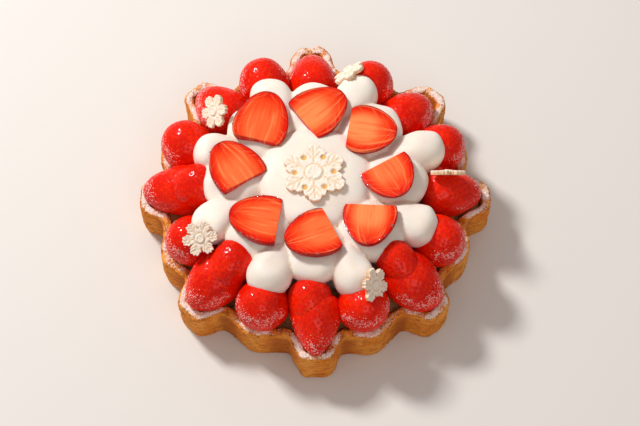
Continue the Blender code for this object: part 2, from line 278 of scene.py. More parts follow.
def combine(target: Object, others: Iterable[Object], how: Joining) -> None:
    """Joins other meshes to a mesh, or cuts them out of it.

    Args:
        target: The mesh that is changed.
        others: The other meshes, which are left as they are.
        how: Whether they are joined or cut out.

    Raises:
        ValueError: One of the meshes isn't closed, so nothing would be joined or cut.
    """
    group = bpy.data.collections.new("combined")
    bpy.context.scene.collection.children.link(group)
    for other in others:
        group.objects.link(other)
    for obj in (target, *group.objects):
        if not is_closed(obj):
            raise ValueError(f"{obj.name} isn't closed")
    apply_modifier(
        target,
        "BOOLEAN",
        operation=how.value,
        operand_type="COLLECTION",
        solver="MANIFOLD",
        collection=group,
    )
    bpy.data.collections.remove(group)


def remove_all(objects: Iterable[Object]) -> None:
    """Removes helper objects from the scene."""
    for obj in list(objects):
        bpy.data.objects.remove(obj, do_unlink=True)


def keep_largest(obj: Object) -> Object:
    """Drops what a cut has left loose.

    Args:
        obj: A mesh object of one or more parts.

    Returns:
        The object that holds the largest part, under the same name.
    """
    name = obj.name
    edit(obj, partial(bpy.ops.mesh.separate, type="LOOSE"))
    parts = sorted(bpy.context.selected_objects, key=lambda part: -len(part.data.vertices))
    remove_all(parts[1:])
    parts[0].name = name
    return parts[0]


def put_in_order(obj: Object) -> None:
    """Puts a mesh's vertices and faces in an order that depends only on where they are.

    Args:
        obj: A mesh object, whose attributes are dropped.
    """
    points = points_of(obj)
    order = np.lexsort(points.T)
    ranks = np.argsort(order)
    faces = []
    for polygon in obj.data.polygons:
        corners = ranks[list(polygon.vertices)]
        faces.append(np.roll(corners, -corners.argmin()).tolist())
    mesh = bpy.data.meshes.new(obj.name)
    mesh.from_pydata(points[order].tolist(), [], sorted(faces))
    obj.data = mesh


def cut_flat(obj: Object, point: Vector, away: Vector) -> None:
    """Cuts a mesh along a plane and closes the cut.

    Args:
        obj: A mesh object.
        point: A point of the plane.
        away: The direction of what is removed.
    """
    edit(obj, partial(bpy.ops.mesh.bisect, plane_co=point, plane_no=away, use_fill=True, clear_outer=True))
    put_in_order(obj)


def wrapped_grid(name: str, steps: int, rows: int, place: Place) -> Object:
    """Bends a grid round an axis and closes it into a solid.

    Args:
        name: The new object's name.
        steps: How many faces go round.
        rows: How many rows of vertices go from the bottom to the top.
        place: Gives the points for arrays of turns (from 0 to 1) and of row numbers.

    Returns:
        The new object.
    """
    add = bpy.ops.mesh.primitive_grid_add
    obj = add_primitive(name, add, x_subdivisions=steps, y_subdivisions=rows - 1, size=1)
    flat = points_of(obj)
    turns = np.round((flat[:, 0] + 0.5) * steps) / steps
    numbers = np.round((flat[:, 1] + 0.5) * (rows - 1)).astype(int)
    move_points(obj, place(turns, numbers))
    edit(
        obj,
        partial(bpy.ops.mesh.remove_doubles, threshold=WELD_DISTANCE),
        partial(bpy.ops.mesh.fill_holes, sides=0),
        partial(bpy.ops.mesh.normals_make_consistent, inside=False),
    )
    return obj


def joined_copies(name: str, template: Object, matrices: list[Matrix]) -> Object:
    """Makes one mesh of many copies of a small modelled piece, and removes that piece.

    Args:
        name: The new object's name.
        template: The piece, modelled at the origin.
        matrices: Where each copy goes.

    Returns:
        The new object.
    """
    points = points_of(template)
    faces = np.array([list(polygon.vertices) for polygon in template.data.polygons])
    spread = np.concatenate([placed(points, matrix) for matrix in matrices])
    shifts = np.arange(len(matrices))[:, None, None] * len(points)
    mesh = bpy.data.meshes.new(name)
    mesh.from_pydata(spread.tolist(), [], (faces[None] + shifts).reshape(-1, faces.shape[1]).tolist())
    obj = bpy.data.objects.new(name, mesh)
    bpy.context.scene.collection.objects.link(obj)
    remove_all([template])
    return obj


def squared_distances(points: np.ndarray, others: np.ndarray) -> np.ndarray:
    """Finds the squared distances from points to other points.

    Args:
        points: The points, one in each row.
        others: The other points, one in each row.

    Returns:
        One row for each point, with a column for each other point.
    """
    return (points**2).sum(1)[:, None] + (others**2).sum(1) - 2 * points @ others.T


def standing_on(point: np.ndarray, normal: np.ndarray, along: Vector, sizes: Triple) -> Matrix:
    """Finds the matrix that lays a small piece on a surface.

    Args:
        point: The place on the surface.
        normal: The surface's normal there.
        along: The direction that the piece's X axis follows.
        sizes: Its half sizes in metres along its own axes.

    Returns:
        The matrix for that piece.
    """
    up = Vector(normal).normalized()
    side = up.cross(along).normalized()
    axes = Matrix((side.cross(up), side, up)).transposed().to_4x4()
    return Matrix.Translation(Vector(point)) @ axes @ Matrix.Diagonal((*sizes, 1))


def finish_piece(
    obj: Object,
    finishes: list[Material],
    nodes: list[str],
    sharp: float = 40.0,
) -> None:
    """Dresses a finished piece and ties it to the frame.

    Args:
        obj: The piece.
        finishes: Its materials.
        nodes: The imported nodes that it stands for.
        sharp: The angle in degrees from which an edge stays sharp.
    """
    for finish in finishes:
        obj.data.materials.append(finish)
    select_only(obj)
    bpy.ops.object.shade_smooth_by_angle(angle=math.radians(sharp))
    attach(obj, "root")
    if nodes:
        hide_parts(*nodes)
    LOG.info("%s: %d triangles", obj.name, sum(len(face.vertices) - 2 for face in obj.data.polygons))


@dataclass(frozen=True)
class Unevenness:
    """A smooth random height over space, made of seeded waves."""

    wavelength: float
    height: float
    seed: int
    stretch: Triple = (1.0, 1.0, 1.0)
    waves: int = 20

    def at(self, points: np.ndarray) -> np.ndarray:
        """Finds the height at each point.

        Args:
            points: Points in metres, one in each row.

        Returns:
            Heights in metres, about the field's height from their mean.
        """
        rng = np.random.default_rng(self.seed)
        ways = rng.normal(size=(self.waves, 3))
        ways /= np.linalg.norm(ways, axis=1, keepdims=True)
        ways *= 2 * math.pi / (self.wavelength * MM) * rng.uniform(0.7, 1.5, (self.waves, 1))
        phases = rng.uniform(0, 2 * math.pi, self.waves)
        total = np.sin(points / np.array(self.stretch) @ ways.T + phases).sum(axis=1)
        return total * self.height * MM * math.sqrt(2 / self.waves)


class Recipe:
    """Puts together the shader nodes of one finish."""

    def __init__(self, name: str, roughness: float) -> None:
        """Starts a material.

        Args:
            name: The material's name.
            roughness: How dull it is, from 0 to 1.
        """
        self.material = bpy.data.materials.new(name)
        self.material.use_nodes = True
        self.tree = self.material.node_tree
        self.shader = self.tree.nodes["Principled BSDF"]
        self.set(Roughness=roughness)
        self.object_place = self.node("ShaderNodeTexCoord").outputs["Object"]

    def node(self, kind: str) -> bpy.types.Node:
        """Adds a node of a kind."""
        return self.tree.nodes.new(kind)

    def link(self, source: Socket, target: Socket) -> None:
        """Links one socket to another."""
        self.tree.links.new(source, target)

    def set(self, **values: object) -> None:
        """Sets some of the shader's own values, each under its socket's name with _ for a space."""
        for name, value in values.items():
            self.shader.inputs[name.replace("_", " ")].default_value = value

    def feed(self, socket: Socket, value: object) -> None:
        """Links a socket, or sets it where the value is a number or a colour.

        Args:
            socket: The input socket.
            value: An output socket, a number or a colour.
        """
        if isinstance(value, Socket):
            self.link(value, socket)
        elif isinstance(value, tuple) and len(value) == 3:
            socket.default_value = (*value, 1)
        else:
            socket.default_value = value

    def reading(self, name: str) -> Socket:
        """Reads an attribute that the mesh keeps.

        Args:
            name: The attribute's name.

        Returns:
            The socket with its value.
        """
        found = self.node("ShaderNodeAttribute")
        found.attribute_name = name
        return found.outputs["Fac"]

    def stretched(self, scale: Triple) -> Socket:
        """Scales the object's coordinates.

        Args:
            scale: The scale along each axis.

        Returns:
            The socket with the scaled place.
        """
        mapping = self.node("ShaderNodeMapping")
        self.link(self.object_place, mapping.inputs["Vector"])
        mapping.inputs["Scale"].default_value = scale
        return mapping.outputs["Vector"]

    def vector(self, x: object, y: object, z: object) -> Socket:
        """Makes a vector from three values.

        Args:
            x: A socket or a number.
            y: A socket or a number.
            z: A socket or a number.

        Returns:
            The socket with the vector.
        """
        made = self.node("ShaderNodeCombineXYZ")
        for name, value in zip("XYZ", (x, y, z)):
            self.feed(made.inputs[name], value)
        return made.outputs[0]

    def noise(self, size: float, place: object = None, detail: float = 2.0) -> Socket:
        """Adds a noise.

        Args:
            size: The size of its cells, in millimetres for object coordinates.
            place: The socket with the coordinates; the object's own if none is given.
            detail: How many finer layers it has.

        Returns:
            The socket with its value, about 0.5 on average.
        """
        made = self.node("ShaderNodeTexNoise")
        self.link(place or self.object_place, made.inputs["Vector"])
        made.inputs["Scale"].default_value = (1 if place else 1 / MM) / size
        made.inputs["Detail"].default_value = detail
        return made.outputs[0]

    def figure(self, operation: str, first: object, second: object = 0.0) -> Socket:
        """Works out a number from two others.

        Args:
            operation: The Math node's operation.
            first: A socket or a number.
            second: A socket or a number.

        Returns:
            The socket with the result.
        """
        made = self.node("ShaderNodeMath")
        made.operation = operation
        self.feed(made.inputs[0], first)
        self.feed(made.inputs[1], second)
        return made.outputs[0]

    def times(self, first: object, second: object) -> Socket:
        """Multiplies two values, each a socket or a number."""
        return self.figure("MULTIPLY", first, second)

    def rise(self, value: Socket, low: float, high: float, top: float = 1.0) -> Socket:
        """Eases a value from 0 at low to the top at high.

        Args:
            value: The socket with the value.
            low: Where the result is 0.
            high: Where the result is the top.
            top: The greatest result.

        Returns:
            The socket with the result.
        """
        made = self.node("ShaderNodeMapRange")
        made.interpolation_type = "SMOOTHSTEP"
        self.link(value, made.inputs["Value"])
        made.inputs["From Min"].default_value = low
        made.inputs["From Max"].default_value = high
        made.inputs["To Max"].default_value = top
        return made.outputs[0]

    def blend(self, share: object, first: object, second: object) -> Socket:
        """Mixes two colours.

        Args:
            share: How much there is of the second, as a socket or a number.
            first: A socket or a colour.
            second: A socket or a colour.

        Returns:
            The socket with the mixed colour.
        """
        made = self.node("ShaderNodeMix")
        made.data_type = "RGBA"
        self.feed(made.inputs[0], share)
        self.feed(made.inputs[6], first)
        self.feed(made.inputs[7], second)
        return made.outputs[2]

    def done(
        self,
        colour: Socket,
        height: Socket,
        relief: float,
        roughness: Socket | None = None,
    ) -> Material:
        """Links the colour and the relief to the shader.

        Args:
            colour: The socket with the colour.
            height: The socket with the height of the fine relief.
            relief: How deep that relief is, in millimetres.
            roughness: The socket with the roughness, where it varies.

        Returns:
            The finished material.
        """
        bump = self.node("ShaderNodeBump")
        bump.inputs["Distance"].default_value = relief * MM
        self.link(height, bump.inputs["Height"])
        self.link(bump.outputs[0], self.shader.inputs["Normal"])
        self.link(colour, self.shader.inputs["Base Color"])
        if roughness is not None:
            self.link(roughness, self.shader.inputs["Roughness"])
        return self.material


@dataclass(frozen=True)
class PastryFinish:
    """Golden shortcrust with fine level cracks, painted shade in the notches between its lobes, and
    powdered sugar on its rim.
    """

    golden: Colour = (0.78, 0.235, 0.022)
    pale: Colour = (0.90, 0.37, 0.065)
    toasted_and_notch_shade: Colour = (0.40, 0.085, 0.008)
    sugar: Colour = (0.96, 0.83, 0.77)
    notch_shade_share: float = 0.75
    frost_share: float = 0.56
    least_frost: float = 0.12

    def material(self) -> Material:
        """Makes the material."""
        recipe = Recipe("golden_pastry", 0.75)
        cloud = recipe.noise(14.0)
        layers = recipe.noise(1.0, recipe.stretched((240, 240, 900)), 3)
        crumb = recipe.noise(0.9, detail=3)
        colour = recipe.blend(recipe.rise(cloud, 0.3, 0.7), self.golden, self.pale)
        # Painted shade: the notches between the lobes are darkened towards the toasted colour, which also
        # colours the real cracks and crumb.
        painted_notch_shade = recipe.times(recipe.reading("notch"), self.notch_shade_share)
        colour = recipe.blend(painted_notch_shade, colour, self.toasted_and_notch_shade)
        colour = recipe.blend(recipe.rise(layers, 0.48, 0.64, 0.7), colour, self.toasted_and_notch_shade)
        colour = recipe.blend(recipe.rise(crumb, 0.52, 0.75, 0.5), colour, self.toasted_and_notch_shade)
        frost = recipe.times(recipe.reading("frost"), self.frost_share)
        frost = recipe.figure("ADD", frost, self.least_frost)
        left = recipe.figure("SUBTRACT", frost, recipe.noise(0.7, detail=2))
        dust = recipe.rise(left, -0.06, 0.16)
        colour = recipe.blend(dust, colour, self.sugar)
        height = recipe.figure("ADD", recipe.times(layers, 0.8), crumb)
        recipe.set(Specular_IOR_Level=0.15)
        return recipe.done(colour, height, 0.5)


@dataclass(frozen=True)
class FillingFinish:
    """Baked almond filling, browned in patches."""

    pale: Colour = (0.80, 0.50, 0.22)
    brown: Colour = (0.50, 0.20, 0.05)

    def material(self) -> Material:
        """Makes the material."""
        recipe = Recipe("baked_almond_filling", 0.7)
        patches = recipe.noise(5.0, detail=3)
        crumb = recipe.noise(0.8)
        colour = recipe.blend(recipe.rise(patches, 0.4, 0.7), self.pale, self.brown)
        colour = recipe.blend(recipe.rise(crumb, 0.55, 0.75, 0.5), colour, self.brown)
        return recipe.done(colour, crumb, 0.5)


@dataclass(frozen=True)
class SkinFinish:
    """Glazed strawberry skin with painted shade in its pits, and sugar where the tart was dusted."""

    name: str = "glazed_strawberry"
    red: Colour = (0.92, 0.014, 0.001)
    deep: Colour = (0.76, 0.006, 0.001)
    bright: Colour = (1.0, 0.055, 0.003)
    pit: Colour = (0.56, 0.004, 0.001)
    sugar: Colour = (0.96, 0.70, 0.66)
    roughness: float = 0.34
    dusted_roughness: float = 0.9
    pit_shade_share: float = 0.5
    frost_share: float = 0.47

    def material(self) -> Material:
        """Makes the material."""
        recipe = Recipe(self.name, self.roughness)
        pit = recipe.reading("pit")
        cloud = recipe.noise(12.0)
        fine = recipe.noise(1.6, detail=2)
        colour = recipe.blend(recipe.rise(cloud, 0.35, 0.65), self.deep, self.red)
        colour = recipe.blend(recipe.rise(fine, 0.48, 0.75, 0.6), colour, self.bright)
        # Painted shade: the skin darkens towards the pit colour round each seed; the same share keeps sugar
        # out of the pits.
        in_pit = recipe.times(pit, self.pit_shade_share)
        colour = recipe.blend(in_pit, colour, self.pit)
        frost = recipe.times(recipe.reading("frost"), recipe.figure("SUBTRACT", 1.0, in_pit))
        frost = recipe.times(frost, self.frost_share)
        left = recipe.figure("SUBTRACT", frost, recipe.noise(0.5, detail=0))
        dust = recipe.rise(left, -0.04, 0.08, 0.85)
        colour = recipe.blend(dust, colour, self.sugar)
        recipe.set(Coat_Weight=0.34, Coat_Roughness=0.03, Specular_IOR_Level=0.04)
        recipe.set(Subsurface_Weight=0.06, Subsurface_Radius=(1.0, 0.12, 0.06), Subsurface_Scale=2.0 * MM)
        dull = recipe.rise(dust, 0.0, 1.0, self.dusted_roughness)
        return recipe.done(colour, fine, 0.25, recipe.figure("MAXIMUM", dull, self.roughness))


@dataclass(frozen=True)
class CutFinish:
    """The cut face of a strawberry: red at the skin, paler inside, with streaks that meet at the tip."""

    skin: Colour = (0.42, 0.004, 0.003)
    rim: Colour = (0.82, 0.010, 0.001)
    flesh: Colour = (1.0, 0.070, 0.010)
    heart: Colour = (1.0, 0.32, 0.10)
    streak: Colour = (1.0, 0.36, 0.13)
    line: Colour = (0.86, 0.030, 0.004)

    def material(self) -> Material:
        """Makes the material."""
        recipe = Recipe("cut_strawberry", 0.3)
        inside = recipe.reading("from_skin")
        along = recipe.reading("lengthwise")
        across = recipe.reading("sideways")
        colour = recipe.blend(recipe.rise(inside, 0.02, 0.13), self.skin, self.rim)
        colour = recipe.blend(recipe.rise(inside, 0.12, 0.6), colour, self.flesh)
        middle = recipe.times(recipe.rise(inside, 0.3, 0.95), recipe.rise(along, 0.8, -0.1))
        colour = recipe.blend(recipe.times(middle, recipe.reading("paleness")), colour, self.heart)
        apart = recipe.times(recipe.reading("which"), 7.0)
        fan = recipe.vector(recipe.times(across, 8.0), recipe.times(along, 0.7), apart)
        streaks = recipe.noise(1.0, fan, 2)
        colour = recipe.blend(recipe.rise(streaks, 0.52, 0.70, 0.45), colour, self.streak)
        colour = recipe.blend(recipe.rise(streaks, 0.46, 0.3, 0.35), colour, self.line)
        aside = recipe.times(recipe.figure("ABSOLUTE", across), 0.6)
        slant = recipe.figure("ADD", along, aside)
        rays = recipe.vector(recipe.times(slant, 13.0), recipe.times(across, 1.2), apart)
        ray = recipe.rise(recipe.noise(1.0, rays, 1), 0.52, 0.7)
        ray = recipe.times(ray, recipe.rise(inside, 0.8, 0.3, 0.2))
        ray = recipe.times(ray, recipe.rise(inside, 0.04, 0.16))
        colour = recipe.blend(ray, colour, self.streak)
        recipe.set(Coat_Weight=0.2, Coat_Roughness=0.08, Specular_IOR_Level=0.08)
        recipe.set(Subsurface_Weight=0.15, Subsurface_Radius=(1.0, 0.3, 0.15), Subsurface_Scale=2.0 * MM)
        return recipe.done(colour, streaks, 0.2)


@dataclass(frozen=True)
class CreamFinish:
    """Whipped cream, satin and a little translucent, with painted shade in the creases between its drops.
    """

    white: Colour = (0.95, 0.87, 0.80)
    warm: Colour = (0.93, 0.82, 0.73)
    crease_shade: Colour = (0.86, 0.62, 0.40)
    crease_shade_share: float = 0.85

    def material(self) -> Material:
        """Makes the material."""
        recipe = Recipe("whipped_cream", 0.5)
        cloud = recipe.noise(16.0)
        fine = recipe.noise(1.5)
        colour = recipe.blend(recipe.rise(cloud, 0.4, 0.7), self.white, self.warm)
        # Painted shade: the creases between the drops are warmed and darkened.
        painted_crease_shade = recipe.times(recipe.reading("crease_shade"), self.crease_shade_share)
        colour = recipe.blend(painted_crease_shade, colour, self.crease_shade)
        recipe.set(Specular_IOR_Level=0.35)
        recipe.set(Subsurface_Weight=0.35, Subsurface_Radius=(1.0, 0.65, 0.4), Subsurface_Scale=3.0 * MM)
        return recipe.done(colour, fine, 0.08)


@dataclass(frozen=True)
class SnowflakeFinish:
    """Moulded sugar paste, ivory, with amber painted shade in its hollows and on its sides."""

    ivory: Colour = (0.99, 0.88, 0.78)
    grain_tone_and_hollow_shade: Colour = (0.88, 0.58, 0.30)
    amber_hollow_shade: Colour = (0.84, 0.46, 0.12)

    def material(self) -> Material:
        """Makes the material."""
        recipe = Recipe("moulded_sugar_paste", 0.6)
        hollow = recipe.reading("hollow")
        grain = recipe.noise(1.2, detail=3)
        colour = recipe.blend(recipe.rise(grain, 0.5, 0.8, 0.6), self.ivory, self.grain_tone_and_hollow_shade)
        # Painted shade: the sunk relief and the sides go over to a darker beige, and the deepest hollows to
        # amber.
        colour = recipe.blend(recipe.rise(hollow, 0.05, 0.4, 0.8), colour, self.grain_tone_and_hollow_shade)
        colour = recipe.blend(recipe.rise(hollow, 0.45, 0.9), colour, self.amber_hollow_shade)
        return recipe.done(colour, grain, 0.25)


@dataclass(frozen=True)
class GrainFinish:
    """Small things whose two colours go over into each other: seeds and sugar."""

    name: str
    light: Colour
    dark: Colour
    roughness: float

    def material(self) -> Material:
        """Makes the material."""
        recipe = Recipe(self.name, self.roughness)
        speckle = recipe.noise(2.0)
        colour = recipe.blend(recipe.rise(speckle, 0.35, 0.65), self.light, self.dark)
        recipe.set(Specular_IOR_Level=0.2)
        return recipe.done(colour, speckle, 0.1)


@dataclass(frozen=True)
class BeadFinish:
    """Clear fruit glaze that has run together in drops."""

    tint: Colour = (1.0, 0.86, 0.78)
    deeper: Colour = (1.0, 0.70, 0.55)

    def material(self) -> Material:
        """Makes the material."""
        recipe = Recipe("clear_fruit_glaze", 0.04)
        cloud = recipe.noise(3.0)
        recipe.set(Transmission_Weight=0.85, IOR=1.42)
        colour = recipe.blend(recipe.rise(cloud, 0.4, 0.6), self.tint, self.deeper)
        return recipe.done(colour, cloud, 0.05)


@dataclass(frozen=True)
class Outline:
    """The crust's scalloped outline, seen from above."""

    valley: float = 86.0
    lobe_half_angle: float = 7.9
    lobe_squareness: float = 4.6
    bulge_half_angle: float = 7.5
    lobes: tuple[Pair, ...] = (
        (0.5, 99.5),
        (44.5, 99.0),
        (91.0, 99.0),
        (135.0, 100.5),
        (181.0, 102.5),
        (223.5, 102.0),
        (269.0, 98.0),
        (315.0, 99.0),
    )
    bulges: tuple[Pair, ...] = (
        (21.5, 91.8),
        (68.5, 91.8),
        (111.5, 92.3),
        (158.5, 91.2),
        (202.5, 92.0),
        (248.0, 93.6),
        (294.0, 92.0),
        (337.5, 90.6),
    )

    def radius(self, azimuths: np.ndarray) -> np.ndarray:
        """Finds how far the rim lies from the axis.

        Args:
            azimuths: Azimuths in degrees.

        Returns:
            Distances in millimetres.
        """
        total = np.full(azimuths.shape, self.valley)
        for centre, reach in self.lobes:
            share = np.abs((azimuths - centre + 180) % 360 - 180) / self.lobe_half_angle
            total += (reach - self.valley) * np.exp(-(share**self.lobe_squareness))
        for centre, reach in self.bulges:
            share = ((azimuths - centre + 180) % 360 - 180) / self.bulge_half_angle
            total += (reach - self.valley) * np.exp(-(share**2))
        return total

    def edge(self, azimuths: np.ndarray) -> np.ndarray:
        """Finds the points of the outline.

        Args:
            azimuths: Azimuths in degrees.

        Returns:
            One row of X and Y, in metres, for each azimuth.
        """
        angles = np.radians(azimuths)
        return self.radius(azimuths)[:, None] * np.stack([np.sin(angles), -np.cos(angles)], 1) * MM

    def inset(self, azimuths: np.ndarray, insets: np.ndarray) -> np.ndarray:
        """Moves points of the outline in at right angles to it.

        Args:
            azimuths: Azimuths in degrees.
            insets: How far each point moves in, in millimetres.

        Returns:
            One row of X and Y, in metres, for each azimuth.
        """
        step = 0.5 + 0.22 * np.clip(insets, 0, 8)
        along = self.edge(azimuths + step) - self.edge(azimuths - step)
        inwards = np.stack([-along[:, 1], along[:, 0]], 1)
        inwards /= np.linalg.norm(inwards, axis=1, keepdims=True)
        return self.edge(azimuths) + inwards * insets[:, None] * MM

    def depth_inside(self, points: np.ndarray) -> np.ndarray:
        """Finds how far points lie inside the outline, towards the axis.

        Args:
            points: Points in metres, one in each row.

        Returns:
            Distances in millimetres.
        """
        azimuths = np.degrees(np.arctan2(points[:, 0], -points[:, 1]))
        return self.radius(azimuths) - np.hypot(points[:, 0], points[:, 1]) / MM


@dataclass
class Shell:
    """The pastry shell and the baked filling in it."""

    outline: Outline = field(default_factory=Outline)
    height: float = 26.0
    floor: float = 4.0
    wall: float = 5.8
    taper: float = 1.2
    steps: int = 1080
    section_spacing: float = 0.6
    section_softening: int = 4
    rim_unevenness: float = 0.4
    rim_band: Pair = (21.0, 25.0)
    foot_band: float = 2.5
    notch_radii: Pair = (90.0, 86.8)
    notch_dusting: float = 0.55
    filling_top: float = 18.0
    filling_gap: float = 0.7
    filling_steps: int = 480
    side_rows: int = 4
    top_rows: int = 40

    def wall_profile(self) -> np.ndarray:
        """Draws the wall's section, from the bottom outside over the rim to the floor inside.

        Returns:
            Rows of (distance inside the outline, height) in millimetres.
        """
        corners = np.array(
            [
                (self.taper + 1.2, 0),
                (self.taper, 0.9),
                (0, self.height - 2.4),
                (0.8, self.height - 0.7),
                (2.4, self.height),
                (self.wall - 1.2, self.height - 0.5),
                (self.wall, self.height - 2.2),
                (self.wall + 1, self.floor),
            ]
        )
        lengths = np.hypot(*np.diff(corners, axis=0).T)
        along = np.concatenate([[0], np.cumsum(lengths)])
        even = np.linspace(0, along[-1], int(along[-1] / self.section_spacing))
        section = np.stack([np.interp(even, along, corners[:, i]) for i in (0, 1)], 1)
        for _ in range(self.section_softening):
            section[1:-1] = (section[:-2] + 2 * section[1:-1] + section[2:]) / 4
        return section

    def build_crust(self) -> Object:
        """Makes the crust, with the unevenness of hand-pressed pastry and a crumbly rim.

        Returns:
            The crust.
        """
        section = self.wall_profile()

        def place(turns: np.ndarray, numbers: np.ndarray) -> np.ndarray:
            """Puts the grid's points round the outline."""
            angles = turns * 2 * math.pi
            heights = section[numbers, 1]
            wander = 0.6 * np.sin(3 * angles + 0.7) + 0.4 * np.sin(7 * angles + 2.1)
            heights = heights * (1 + self.rim_unevenness * wander / self.height)
            flat = self.outline.inset(turns * 360, section[numbers, 0])
            return np.column_stack([flat, heights * MM])

        crust = wrapped_grid("pastry_crust", self.steps, len(section), place)
        points = points_of(crust)
        normals = normals_of(crust)
        heights = points[:, 2] / MM
        above_foot = eased(0, self.foot_band, heights)
        on_rim = eased(*self.rim_band, heights)
        relief = Unevenness(11, 0.22, 1).at(points)
        relief += Unevenness(3.2, 0.09, 2, (1, 1, 0.5)).at(points)
        relief += Unevenness(1.9, 0.1, 3, waves=28).at(points) * (0.5 + 1.3 * on_rim)
        points += normals * (relief * above_foot)[:, None]
        move_points(crust, points)
        facing_up = eased(0.4, 0.92, normals[:, 2])
        patches = eased(-1.3, 0.6, Unevenness(7, 1 / MM, 4).at(points))
        azimuths = np.degrees(np.arctan2(points[:, 0], -points[:, 1]))
        notch = eased(*self.notch_radii, self.outline.radius(azimuths))
        frost = facing_up * on_rim * (0.6 + 0.4 * patches) * (1 - self.notch_dusting * notch)
        keep_reading(crust, "frost", frost)
        # How deep in a notch between lobes each point of the side lies, for the pastry's painted shade
        # there.
        keep_reading(crust, "notch", notch * (1 - on_rim))
        return crust

    def build_filling(self) -> Object:
        """Makes the filling, with an uneven baked top.

        Returns:
            The filling.
        """
        edge = self.wall + self.filling_gap
        shares = np.concatenate([np.ones(self.side_rows), np.linspace(0.99, 0.5, self.top_rows)])
        side = np.linspace(self.floor + 0.3, self.filling_top - 0.6, self.side_rows)
        heights = np.concatenate([side, np.full(self.top_rows, self.filling_top)])
        heights[self.side_rows] -= 0.15

        def place(turns: np.ndarray, numbers: np.ndarray) -> np.ndarray:
            """Puts the grid's points inside the crust."""
            flat = self.outline.inset(turns * 360, np.full(len(turns), edge))
            return np.column_stack([flat * shares[numbers][:, None], heights[numbers] * MM])

        filling = wrapped_grid("almond_filling", self.filling_steps, len(shares), place)
        points = points_of(filling)
        on_top = eased(self.filling_top - 0.4, self.filling_top - 0.1, points[:, 2] / MM)
        relief = Unevenness(5, 0.16, 5).at(points) + Unevenness(1.8, 0.06, 6).at(points)
        points[:, 2] += relief * on_top
        move_points(filling, points)
        return filling


@dataclass(frozen=True)
class Strawberry:
    """A strawberry: the place of its middle, its size, and how its axis points.

    A turn of 0 points the tip away from the tart's axis. The dip is how far the tip points below the
    horizontal, and the lean how far the side away from the tart's axis is raised. The taper is 0 for an egg
    and grows for a cone. The stem cut is how far from the middle a half ends, and the paleness is that of
    its cut face. The powers shape the two ends, and a smaller one makes an end blunter.
    """

    node: str
    azimuth: float
    radius: float
    height: float
    width: float
    length: float
    turn: float = 0.0
    dip: float = 0.0
    taper: float = 0.28
    stem_cut: float = 0.0
    lean: float = 0.0
    paleness: float = 0.5
    stem_power: float = 0.34
    tip_power: float = 0.42

    @property
    def seed(self) -> int:
        """A seed of its own for this strawberry's random draws."""
        return sum(map(ord, self.node)) + int(self.azimuth * 10)

    def matrix(self) -> Matrix:
        """Takes the strawberry's own frame, with the tip on +X, to its place."""
        facing = Matrix.Rotation(math.radians(self.azimuth + self.turn - 90), 4, "Z")
        dipped = Matrix.Rotation(math.radians(self.dip), 4, "Y")
        across = on_tart(self.azimuth, 1 / MM, 0).cross(Vector((0, 0, 1)))
        leaning = Matrix.Rotation(math.radians(self.lean), 4, across)
        middle = Matrix.Translation(on_tart(self.azimuth, self.radius, self.height))
        return middle @ leaning @ facing @ dipped

    def fullness(self, along: np.ndarray) -> np.ndarray:
        """Finds how thick the strawberry is along its axis.

        Args:
            along: Places from -1 at the stem to 1 at the tip.

        Returns:
            Shares of its greatest radius.
        """
        widest = -self.taper / 2
        full = (1 - widest**2) ** self.stem_power * (1 - self.taper * widest)
        power = np.where(along < 0, self.stem_power, self.tip_power)
        return np.maximum(1 - along**2, 0) ** power * (1 - self.taper * along) / full

    def shaped(self, ball: np.ndarray) -> np.ndarray:
        """Draws a unit ball out to the strawberry's form.

        Args:
            ball: Points of the ball, whose Z axis becomes the strawberry's axis.

        Returns:
            Points in the strawberry's own frame, in metres.
        """
        along = ball[:, 2]
        ring = np.maximum(np.hypot(ball[:, 0], ball[:, 1]), LEAST_LENGTH)
        across = self.fullness(along) * self.width / 2 / ring
        return np.column_stack([along * self.length / 2, ball[:, 0] * across, ball[:, 1] * across]) * MM

    def seed_places(self, spacing: float = 3.3) -> np.ndarray:
        """Lays out the seeds on a spiral from the tip to the stem.

        Args:
            spacing: About how far apart they are, in millimetres.

        Returns:
            Points in the strawberry's own frame.
        """
        count = int(1.1 * math.pi * self.width * self.length / spacing**2)
        rng = np.random.default_rng(self.seed)
        numbers = np.arange(count) + 0.5
        along = np.clip(1 - 2 * numbers / count + rng.normal(0, 0.35 / count, count), -1, 1)
        around = numbers * math.pi * (3 - math.sqrt(5)) + rng.normal(0, 0.06, count)
        ring = np.sqrt(1 - along**2)
        return self.shaped(np.column_stack([ring * np.cos(around), ring * np.sin(around), along]))

    def closeness(self, points: np.ndarray, seeds: np.ndarray, reach: float = 0.85) -> np.ndarray:
        """Finds how close points are to a seed.

        Args:
            points: Points in the strawberry's own frame.
            seeds: The seeds' places.
            reach: The pits' radius in millimetres.

        Returns:
            Shares, 1 at a seed and near 0 between the seeds.
        """
        nearest = np.maximum(squared_distances(points, seeds).min(axis=1), 0)
        return np.exp(-nearest / (reach * MM) ** 2)


